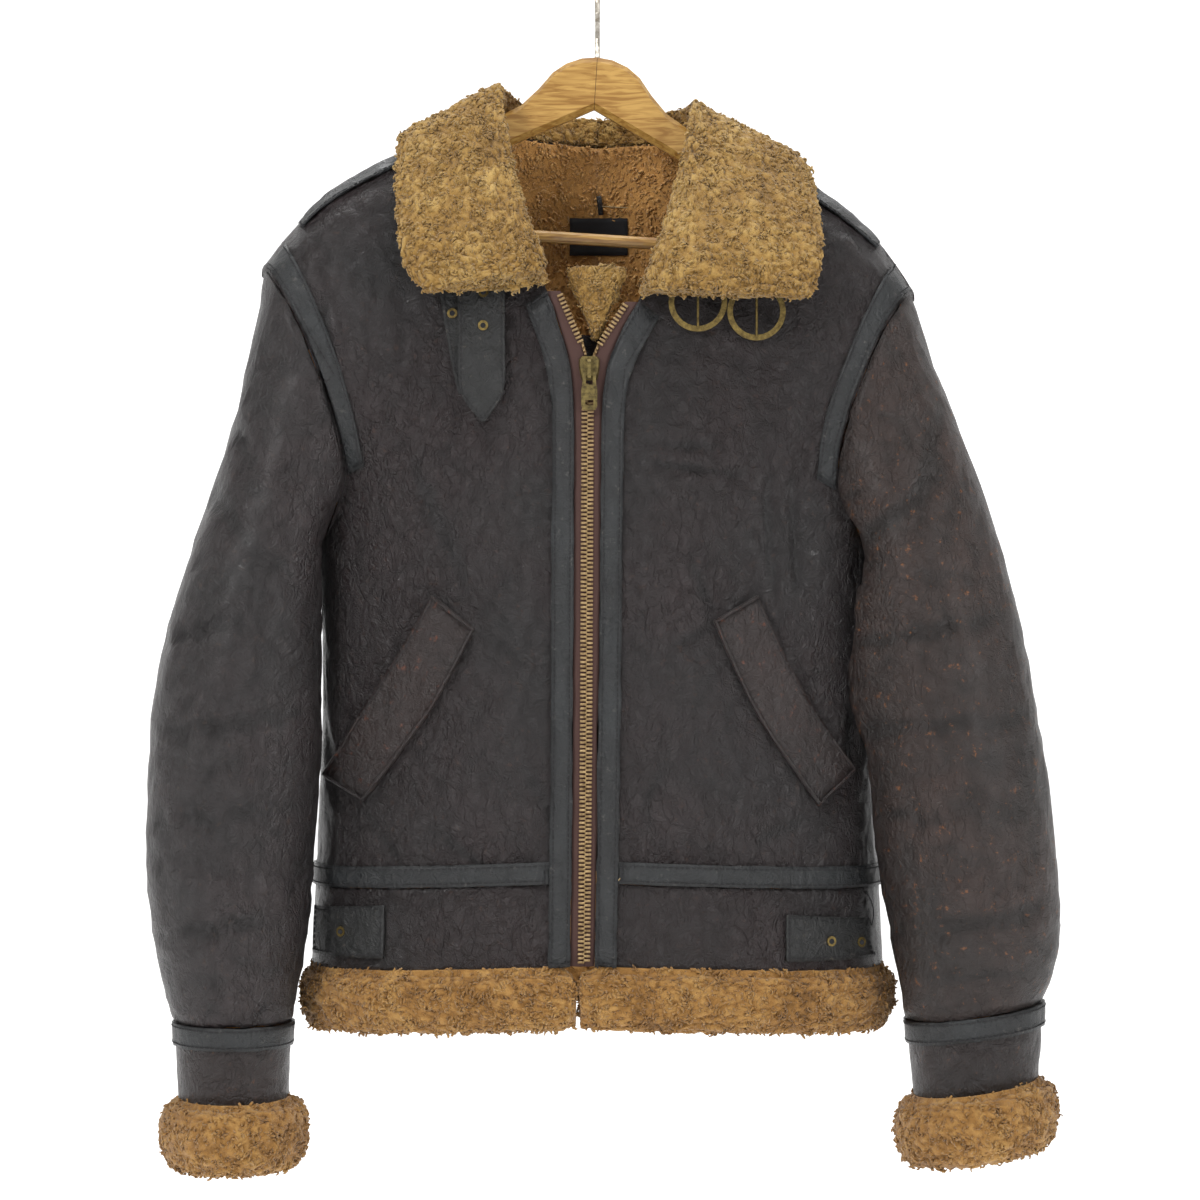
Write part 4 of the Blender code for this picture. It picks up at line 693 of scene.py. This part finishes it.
# %% Wool beds
CURLS = (3.8, 0.0075)
WOOL = {
    "collar_l": (collar_wool, 4, *CURLS, -1.8), "collar_r": (collar_wool, 4, *CURLS, -1.8),
    **{name: (hem_wool, 3, *CURLS, -2.0)
       for name in ("hem_fur_l", "hem_fur_r", "hem_fur_back", "cuff_fur_l", "cuff_fur_r")},
    "wind_flap_fur": (collar_wool, 3, 2.4, 0.007, -1.2),
}
NEIGHBOURS = {
    "cuff_fur_l": ("cuff_l",), "cuff_fur_r": ("cuff_r",),
    "hem_fur_l": ("waistband_front_l", "hem_fur_back"),
    "hem_fur_r": ("waistband_front_r", "hem_fur_back"),
    "hem_fur_back": ("waistband_back", "hem_fur_l", "hem_fur_r"),
}
REACH, FADE = 0.0025, 0.0013
beds = {}


def seam_points(made, node):
    """The points next to another piece, with the place they touch and how firmly they hold."""
    found = []
    for wall in [surface(nodes[other]) for other in NEIGHBOURS.get(node, ())]:
        for point in made.data.vertices:
            place, _, _, gap = wall.find_nearest(point.co, REACH)
            if place:
                inside = place + (place - point.co).normalized() * 0.3 * MM
                found.append((point, inside, min(1.0, (REACH - gap) / FADE)))
    return found


for node, (finish, levels, size, width, drawn) in WOOL.items():
    shape = soft_copy(node)
    crease_rims(shape, 0.25)
    layer = shape.edges.layers.float["crease_edge"]
    for edge in shape.edges:
        if all(abs(point.co.x) < 0.0007 for point in edge.verts):
            edge[layer] = 1.0
    bed = subdivided(node + "_bed", shape, levels)
    bed.data.materials.append(finish)
    ends = [(point, point.co.x) for point in bed.data.vertices if abs(point.co.x) < 0.0162]
    sewn = seam_points(bed, node)
    wrinkle(bed, size, width, 1.0, (), drawn)
    for point, place, share in sewn:
        point.co = point.co.lerp(place, share)
    if node in ("hem_fur_l", "hem_fur_r"):
        for point, x in ends:
            point.co.x = x
    # Painted shade: the tone is darker where the bed sinks between its pillows, lighter on their tops.
    height = read(bed.data.attributes["rub"].data, "value", 1)
    set_tone(bed.data, np.clip(0.60 + 0.13 * height, 0.0, 0.7))
    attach(bed, "root")
    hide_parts(node)
    beds[node] = bed
print("wool beds:", {name: len(bed.data.polygons) for name, bed in beds.items()})

# %% [markdown]
# One lock is a three-sided tuft, fattest near its tip and cut twice so that it can curl: fifteen
# triangles. It is copied tens of thousands of times, each copy rolled up along its own curve, and
# all locks of a piece become one mesh. The places are drawn at random from the bed's faces, by
# area, with a fixed seed, so that every run gives the same wool. The way a lock lies mixes the
# way out, the way down and a noise that turns slowly, so that neighbours share a curl.

# %% One lock
pattern = bmesh.new()
bmesh.ops.create_cone(pattern, cap_ends=False, segments=3, radius1=1.0, radius2=0.0, depth=1.0)
bmesh.ops.translate(pattern, vec=(0, 0, 0.5), verts=pattern.verts)
bmesh.ops.remove_doubles(pattern, verts=pattern.verts, dist=1e-4)
for height in (0.34, 0.68):
    bmesh.ops.bisect_plane(pattern, geom=pattern.verts[:] + pattern.edges[:] + pattern.faces[:],
                           plane_co=(0, 0, height), plane_no=(0, 0, 1))
bmesh.ops.triangulate(pattern, faces=pattern.faces)
bmesh.ops.recalc_face_normals(pattern, faces=pattern.faces)
for point in pattern.verts:
    if 0.1 < point.co.z < 0.9:
        swell = 1.45 if point.co.z < 0.5 else 2.2
        point.co.x *= swell
        point.co.y *= swell
pattern.verts.index_update()
LOCK_POINTS = np.array([point.co[:] for point in pattern.verts])
LOCK_FACES = np.array([[point.index for point in face.verts] for face in pattern.faces])
pattern.free()
print("lock:", len(LOCK_POINTS), "points,", len(LOCK_FACES), "triangles")


def lock_roots(mesh, count, chooser, keep):
    """Places, normals and the mesh's tone at each, picked by area from the faces that keep allows."""
    mesh.calc_loop_triangles()
    corners = np.empty(len(mesh.loop_triangles) * 3, dtype=np.int32)
    mesh.loop_triangles.foreach_get("vertices", corners)
    corners = corners.reshape(-1, 3)
    tone = read(mesh.attributes["tone"].data, "value", 1)
    a, b, c = read(mesh.vertices, "co")[corners].transpose(1, 0, 2)
    normals = np.cross(b - a, c - a)
    areas = np.linalg.norm(normals, axis=1)
    normals /= np.maximum(areas, 1e-12)[:, None]
    areas = areas * keep((a + b + c) / 3, normals)
    picked = chooser.choice(len(areas), count, p=areas / areas.sum())
    u, v = chooser.random(count), chooser.random(count)
    fold = u + v > 1
    u[fold], v[fold] = 1 - u[fold], 1 - v[fold]
    roots = a[picked] + u[:, None] * (b - a)[picked] + v[:, None] * (c - a)[picked]
    return roots, normals[picked], tone[corners[picked, 0]]


def unit(rows):
    return rows / np.maximum(np.linalg.norm(rows, axis=1, keepdims=True), 1e-9)


def grow_locks(name, bed, count, length, thick, seed, finish, lie=0.9, fall=0.35, clump=75.0, keep=None):
    """All the locks of one bed as one mesh."""
    chooser = np.random.default_rng(seed)
    keep = keep or (lambda middles, normals: np.ones(len(middles)))
    roots, normals, height = lock_roots(bed.data, count, chooser, keep)
    swirl = np.array([noise.noise_vector(Vector(root) * clump) for root in roots])
    curl = np.array([noise.noise_vector(Vector(root) * clump * 1.9 + Vector((5, 5, 5))) for root in roots])
    wild = chooser.normal(0, 0.20, (count, 3))
    down = np.array((0.0, 0.0, -1.0))
    way = unit(normals * 0.50 + swirl * 2.4 * lie + down * fall + wild)
    inside = np.einsum("ij,ij->i", way, normals)
    way = unit(way + normals * np.clip(0.30 - inside, 0, None)[:, None])
    turn = curl * 1.8 + down * 0.5 - normals * 0.8 + wild
    turn = unit(turn - way * np.einsum("ij,ij->i", turn, way)[:, None])
    long = length * MM * chooser.uniform(0.6, 1.15, count)
    across = unit(np.cross(way, turn))
    roll = chooser.uniform(2.2, 3.6, count)[:, None, None]
    share = LOCK_POINTS[:, 2][None, :, None]
    bent, arm = roll * share, long[:, None, None] / roll
    spine = roots[:, None] + arm * (np.sin(bent) * way[:, None] + (1 - np.cos(bent)) * turn[:, None])
    up = np.cos(bent) * turn[:, None] - np.sin(bent) * way[:, None]
    radius = thick * MM * chooser.uniform(0.7, 1.25, count)[:, None, None]
    points = spine + radius * (across[:, None] * LOCK_POINTS[None, :, 0:1] + up * LOCK_POINTS[None, :, 1:2])
    faces = (LOCK_FACES[None] + np.arange(count)[:, None, None] * len(LOCK_POINTS)).reshape(-1, 3)
    mesh = bpy.data.meshes.new(name)
    mesh.vertices.add(count * len(LOCK_POINTS))
    mesh.vertices.foreach_set("co", points.ravel())
    mesh.loops.add(faces.size)
    mesh.loops.foreach_set("vertex_index", faces.ravel())
    mesh.polygons.add(len(faces))
    mesh.polygons.foreach_set("loop_start", np.arange(0, faces.size, 3))
    mesh.polygons.foreach_set("loop_total", np.full(len(faces), 3))
    mesh.update(calc_edges=True)
    # Painted shade: a lock is darker at its root than at its tip, and darker still where it grows from a shaded valley
    # of the bed.
    own = chooser.uniform(-0.07, 0.07, count) + 0.5 * (height - 0.42)
    set_tone(mesh, np.clip(0.42 + own[:, None] + 0.22 * LOCK_POINTS[None, :, 2], 0, 1).ravel())
    mesh.shade_smooth()
    return on_root(name, mesh, finish)


# %% [markdown]
# The collar's wool is the longest that shows, and its underside, which lies on the leather, needs
# only a little. The lining shows at the neck, on the inside of the back, so a band of locks
# grows there from the inner skin.

# %% Locks
def looks_away(middles, normals):
    """Outside of the wool: away from the trunk's or the nearer arm's middle."""
    arm = np.abs(middles[:, 0]) > 0.215
    low = middles[:, 2] < -0.80
    x = np.where(arm & low, np.sign(middles[:, 0]) * CUFF_X, 0.35 * middles[:, 0])
    y = np.where(arm & low, CUFF_Y, TRUNK_Y)
    out = middles - np.stack((x, y, np.minimum(middles[:, 2], TOP_Z)), axis=1)
    return np.einsum("ij,ij->i", out, normals) > 0


def inside_the_neck(middles, normals):
    """The lining that shows between the collars, above the label and beside it."""
    seen = (np.abs(middles[:, 0]) < 0.085) & (middles[:, 2] > -0.33) & (normals[:, 1] < -0.2)
    return seen & ~((np.abs(middles[:, 0] - 0.001) < 0.026) & (np.abs(middles[:, 2] + 0.196) < 0.017))


locks = {}
for seed, (node, count, length, thick) in enumerate([
        ("collar_l", 6900, 5.6, 1.05), ("collar_r", 6900, 5.6, 1.05), ("hem_fur_l", 2400, 5.8, 1.05),
        ("hem_fur_r", 2400, 5.8, 1.05), ("hem_fur_back", 2900, 6.0, 1.2), ("cuff_fur_l", 2300, 5.6, 1.05),
        ("cuff_fur_r", 2300, 5.6, 1.05), ("wind_flap_fur", 500, 5.4, 1.0)]):
    locks[node] = grow_locks(
        node + "_locks", beds[node], count, length, thick, 40 + seed, beds[node].data.materials[0],
        fall=0.0 if node.startswith("hem") else 0.35,
        keep=lambda middles, normals: np.where(looks_away(middles, normals), 1.0, 0.15))
for side, seed in (("l", 60), ("r", 61)):
    made = shells[f"back_{side}"]
    locks[f"neck_{side}"] = grow_locks(f"neck_wool_{side}", made, 2400, 5.6, 1.1, seed, lining_wool, fall=0.5,
                                       keep=inside_the_neck)
print("locks:", sum(len(made.data.polygons) for made in locks.values()), "triangles")

# %% [markdown]
# Sewing follows the rims. A rim is walked round the leather side of a coarse piece, at an even
# pitch. Each place is moved inwards by the seam allowance and then dropped on the finished
# shell, so that the thread lies on the wrinkles. A face counts as leather side if it looks
# squarely out of the trunk, whose section is near an ellipse, or out of the arm.

# %% Rims
def looks_square(centre, normal, node):
    """True for a face that looks squarely out, so not for the thin wall at a rim."""
    x, y, z = centre
    if node.startswith(("sleeve", "cuff")):
        way = Vector((x - math.copysign(CUFF_X, x), y - CUFF_Y, 0))
    else:
        way = Vector((x / 0.24 ** 2, y / 0.10 ** 2, 0))
    way.normalize()
    way.z = min(1.0, max(0.0, (z - TOP_Z) / 0.17))
    return way.normalized().dot(normal) > 0.7


def rim_places(node, inset, pitch):
    """Places round a piece, each with the way along the rim and the way inwards."""
    shape = soft_copy(node)
    shape.edges.ensure_lookup_table()
    skin = [face for face in shape.faces if looks_square(face.calc_center_median(), face.normal, node)]
    inside = {face.index for face in skin}
    rim = {edge.index: face for face in skin for edge in face.edges
           if sum(other.index in inside for other in edge.link_faces) == 1}
    places, step = [], 0.0
    for first in sorted(rim):
        edge = shape.edges[first] if first in rim else None
        point = edge.verts[0] if edge else None
        while edge:
            face = rim.pop(edge.index)
            far = edge.other_vert(point)
            run = far.co - point.co
            inwards = face.normal.cross(run).normalized()
            if inwards.dot(face.calc_center_median() - point.co) < 0:
                inwards.negate()
            while step < run.length:
                along = run.normalized()
                places.append((point.co + along * step + inwards * inset, along, inwards))
                step += pitch
            step -= run.length
            point = far
            edge = next((other for other in far.link_edges if other.index in rim), None)
    shape.free()
    return places


def block(long, wide, high, bevel=0.0):
    """A small block as a pattern: its points and its triangles."""
    shape = bmesh.new()
    bmesh.ops.create_cube(shape, size=1)
    bmesh.ops.scale(shape, vec=(long, wide, high), verts=shape.verts)
    if bevel:
        bmesh.ops.bevel(shape, geom=shape.edges[:], offset=bevel, segments=1, affect="EDGES",
                        profile=0.5, material=-1)
    bmesh.ops.triangulate(shape, faces=shape.faces)
    bmesh.ops.recalc_face_normals(shape, faces=shape.faces)
    shape.verts.index_update()
    pattern = (np.array([point.co[:] for point in shape.verts]),
               np.array([[point.index for point in face.verts] for face in shape.faces]))
    shape.free()
    return pattern


def copies(name, pattern, frames, finish):
    """One mesh with a copy of the pattern in each frame: a place, and the ways along, across and up."""
    points, faces = pattern
    frames = np.array([[way[:] for way in frame] for frame in frames])
    placed = frames[:, None, 0] + np.einsum("pk,nkc->npc", points, frames[:, 1:])
    corners = faces[None] + np.arange(len(frames))[:, None, None] * len(points)
    mesh = bpy.data.meshes.new(name)
    mesh.from_pydata(placed.reshape(-1, 3).tolist(), [], corners.reshape(-1, 3).tolist())
    return on_root(name, mesh, finish)


print("helpers: rims and copies")

# %% [markdown]
# One stitch is a short block of waxed thread, three millimetres long, half sunk in the leather.
# The dark thread hardly differs from the leather in colour, but it catches the light in a fine
# dotted line, and the line says where each piece is sewn.

# %% Stitches
STITCH = block(2.9 * MM, 0.75 * MM, 0.7 * MM)
sewn = {}
for node, made in shells.items():
    if node in LAID and node != "neck_label" and not node.startswith("zip"):
        skin, frames = surface(made), []
        for place, along, inwards in rim_places(node, 2.3 * MM, 4.3 * MM):
            spot, normal, _, _ = skin.find_nearest(place)
            along = (along - normal * along.dot(normal)).normalized()
            frames.append((spot + normal * 0.1 * MM, along, normal.cross(along), normal))
        sewn[node] = copies(node + "_stitches", STITCH, frames, dark_thread)
print("stitches:", sum(len(made.data.polygons) // len(STITCH[1]) for made in sewn.values()))

# %% [markdown]
# The zip is brass. A tooth is a little bevelled block that clasps the tape's edge, and the teeth
# of the two sides stand half a pitch apart, so that they mesh below the slider. Above it each
# row follows its own tape round the open neck.

# %% Zip teeth
PITCH = 3.15 * MM
TOOTH = block(5.0 * MM, 1.75 * MM, 1.9 * MM, 0.35 * MM)
CHAIN = np.array([(-.759, -.0100), (-.697, -.0094), (-.590, -.0084), (-.335, -.0072), (-.303, -.0060)])
teeth = {}
for side, sign in (("l", -1), ("r", 1)):
    tape, frames = surface(shells[f"zip_tape_{side}"]), []
    for z in np.arange(-0.756 + (0.5 * PITCH if side == "r" else 0.0), -0.3235, PITCH):
        x = float(np.interp(z, CHAIN[:, 0], CHAIN[:, 1])) + sign * 2.2 * MM
        spot, normal, _, _ = tape.ray_cast(Vector((x, -0.3, z)), Vector((0, 1, 0)))
        if spot:
            normal = Vector((0, -1, 0)) if normal.y > -0.5 else normal
            across = (Vector((sign, 0, 0)) - normal * normal.x * sign).normalized()
            frames.append((spot + normal * 0.8 * MM, across, normal.cross(across), normal))
    for place, along, inwards in rim_places(f"zip_tape_{side}", 1.6 * MM, PITCH):
        if place.z > -0.302 and inwards.x * sign > 0.35:
            spot, normal, _, _ = tape.find_nearest(place)
            across = (inwards - normal * inwards.dot(normal)).normalized()
            frames.append((spot + normal * 0.7 * MM, across, normal.cross(across), normal))
    teeth[side] = copies(f"zip_teeth_{side}", TOOTH, frames, tooth_brass)
print("teeth:", {side: len(made.data.polygons) // len(TOOTH[1]) for side, made in teeth.items()})

# %% [markdown]
# Threads, loops and the rolled binding round the pockets are all the same kind of shape: a round
# section drawn along a line of points on the leather. A short open circle is extruded from
# point to point, and the ring of new vertices is moved to the next place each time.

# %% Drawn threads
def drawn_tube(name, points, radius, finish, sides=6):
    shape = bmesh.new()
    points = [Vector(point) for point in points]
    ways = [(points[min(count + 1, len(points) - 1)] - points[max(count - 1, 0)]).normalized()
            for count in range(len(points))]
    ring = bmesh.ops.create_circle(shape, segments=sides, radius=radius)["verts"]
    bmesh.ops.rotate(shape, verts=ring, matrix=ways[0].to_track_quat("Z", "Y").to_matrix())
    bmesh.ops.translate(shape, verts=ring, vec=points[0])
    rings = [ring]
    loop = [edge for edge in shape.edges]
    for count in range(1, len(points)):
        made = bmesh.ops.extrude_edge_only(shape, edges=loop)["geom"]
        ring = [part for part in made if isinstance(part, bmesh.types.BMVert)]
        loop = [part for part in made if isinstance(part, bmesh.types.BMEdge)]
        turn = ways[count - 1].rotation_difference(ways[count]).to_matrix()
        bmesh.ops.rotate(shape, verts=ring, cent=points[count - 1], matrix=turn)
        bmesh.ops.translate(shape, verts=ring, vec=points[count] - points[count - 1])
        rings.append(ring)
    for ring in (rings[0], rings[-1]):
        bmesh.ops.contextual_create(shape, geom=ring)
    bmesh.ops.recalc_face_normals(shape, faces=shape.faces)
    made = on_root(name, shape, finish)
    made.data.shade_smooth()
    return made


bindings = {}
for side, sign in (("l", -1), ("r", 1)):
    node = f"pocket_welt_{side}"
    skin = surface(shells[node])
    places = [(place, inwards) for place, along, inwards in rim_places(node, 1.4 * MM, 5 * MM)]
    closed = [inwards.x * -sign > 0.66 for place, inwards in places]
    start = next(count for count in range(len(places)) if closed[count - 1] and not closed[count])
    line = []
    for count in range(start, start + len(places)):
        if closed[count % len(places)]:
            break
        spot, normal, _, _ = skin.find_nearest(places[count % len(places)][0])
        line.append(spot + normal * 0.2 * MM)
    bindings[side] = drawn_tube(f"pocket_binding_{side}", line, 1.3 * MM, welt_hide, 8)
print("bindings:", {side: len(made.data.polygons) for side, made in bindings.items()})

# %% [markdown]
# Small things from use: a stray loop of waxed thread for a belt at the right side seam, a few
# pale stitches where the waist was mended, and the tab and thread inside the neck that the
# jacket can be hung by. Each line is given in the front view and dropped on the leather.

# %% Small things
def on_skin(node, x, z, above):
    """The first point of a shell behind a place in the front view, brought forward."""
    skin, place = surface(shells[node]), Vector((x * MM, -0.4, z * MM))
    spot = skin.ray_cast(place, Vector((0, 1, 0)))[0] or skin.find_nearest(place)[0]
    return spot + Vector((0, -1, 0)) * above * MM


def arc(node, start, end, bow, above, count=9):
    line = []
    for share in np.linspace(0, 1, count):
        x, z = (1 - share) * start[0] + share * end[0], (1 - share) * start[1] + share * end[1]
        swing = math.sin(math.pi * share)
        line.append(on_skin(node, x + bow * swing, z, above * swing + 0.3))
    return line


TAB = [on_skin("back_r", x, z, 5.5) for x, z in ((1, -164), (2, -171), (3, -179))]
TAB_THREAD = [on_skin("back_r", x, -172 - 0.06 * x, 6.5) for x in (3, 8, 13, 18, 24)]
small = [
    drawn_tube("belt_thread", arc("waistband_front_r", (205, -708), (210, -735), 3.5, 3.0),
               0.45 * MM, dark_thread),
    drawn_tube("waist_mend", arc("waist_tape_r", (2, -692), (17, -693), 0, 0.4), 0.4 * MM, pale_thread),
    drawn_tube("hang_tab", TAB, 2.2 * MM, tape_hide, 8),
    drawn_tube("hang_thread", TAB_THREAD, 0.4 * MM, pale_thread),
]
print("small things:", len(small))

# %% [markdown]
# Behind each eyelet is a hole. A dark disc just above the strap, inside the brass ring, is painted
# shade that stands for its depth.

# %% Painted shade in the eyelet holes
hole_shades = []
for count in range(1, 7):
    low, high = (Vector(corner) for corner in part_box(f"eyelet_{count}"))
    middle = (low + high) / 2
    shape = bmesh.new()
    bmesh.ops.create_circle(shape, cap_ends=True, segments=16, radius=(high.x - low.x) * 0.26)
    bmesh.ops.rotate(shape, verts=shape.verts, matrix=Vector((0, -1, 0)).to_track_quat("Z", "Y").to_matrix())
    bmesh.ops.translate(shape, verts=shape.verts, vec=(middle.x, low.y + 0.5 * MM, middle.z))
    # The disc is painted shade, in the label's near-black cloth.
    hole_shades.append(on_root(f"eyelet_hole_shade_{count}", shape, label_cloth_and_hole_shade))
print("eyelet holes:", len(hole_shades))

# %% [markdown]
# Each soft piece is a sheet that was cut from a hide. Its flat size is the rectangle that the
# pattern piece was cut from, all round where it is a tube, and its area is what is left after
# the curves were cut away. The wool beds are strips of the same hide, turned wool side out.

# %% Cut sizes
CUT = {
    "front_l": (.270, .620, .1255), "front_r": (.270, .620, .1260), "back_l": (.280, .620, .1435),
    "back_r": (.280, .620, .1380), "sleeve_l": (.400, .600, .1740), "sleeve_r": (.400, .600, .1775),
    "cuff_l": (.275, .060, .0160), "cuff_r": (.280, .064, .0172), "waistband_front_l": (.240, .071, .0166),
    "waistband_front_r": (.262, .071, .0180), "waistband_back": (.485, .071, .0336), "wind_flap": (.100, .410, .0398),
    "collar_l": (.250, .165, .0373), "collar_r": (.265, .170, .0410), "hem_fur_l": (.240, .062, .0144),
    "hem_fur_r": (.268, .061, .0158), "hem_fur_back": (.490, .055, .0262), "cuff_fur_l": (.330, .060, .0189),
    "cuff_fur_r": (.335, .062, .0199), "wind_flap_fur": (.046, .058, .0019),
    "armhole_tape_l": (.020, .500, .0091), "armhole_tape_r": (.020, .480, .0088),
    "shoulder_tape_l": (.030, .145, .0042), "shoulder_tape_r": (.030, .145, .0042),
    "waist_tape_l": (.0185, .235, .0042), "waist_tape_r": (.0185, .255, .0045), "waist_tape_back": (.0195, .485, .0091),
    "placket_tape_l": (.019, .512, .0093), "placket_tape_r": (.019, .512, .0093), "cuff_tape_l": (.019, .290, .0053),
    "cuff_tape_r": (.020, .300, .0057), "side_strap_l": (.046, .073, .0031), "side_strap_r": (.044, .072, .0028),
    "collar_strap_front": (.037, .122, .0042), "collar_strap_behind": (.037, .098, .0030),
    "buckle_tab_a": (.012, .036, .0004), "buckle_tab_b": (.012, .036, .0004), "pocket_welt_l": (.044, .196, .0079),
    "pocket_welt_r": (.040, .192, .0072), "zip_tape_l": (.0125, .520, .0063), "zip_tape_r": (.0125, .515, .0060),
    "neck_label": (.047, .032, .0015),
}
HELD = {"folded": ("collar", "cuff_fur", "hem_fur", "wind_flap_fur"),
        "hung": ("front", "back", "sleeve", "waistband", "cuff")}
for node, (width, length, area) in CUT.items():
    made = beds.get(node) or shells[node]
    held = next((word for word, starts in HELD.items() if node.startswith(starts)), "laid")
    held = "laid" if node in LAID else held
    on_it = [piece for piece in (locks.get(node), sewn.get(node)) if piece]
    if node in ("zip_tape_l", "zip_tape_r"):
        on_it.append(teeth[node[-1]])
    if node.startswith("pocket"):
        on_it.append(bindings[node[-1]])
print("cut pieces:", len(CUT))
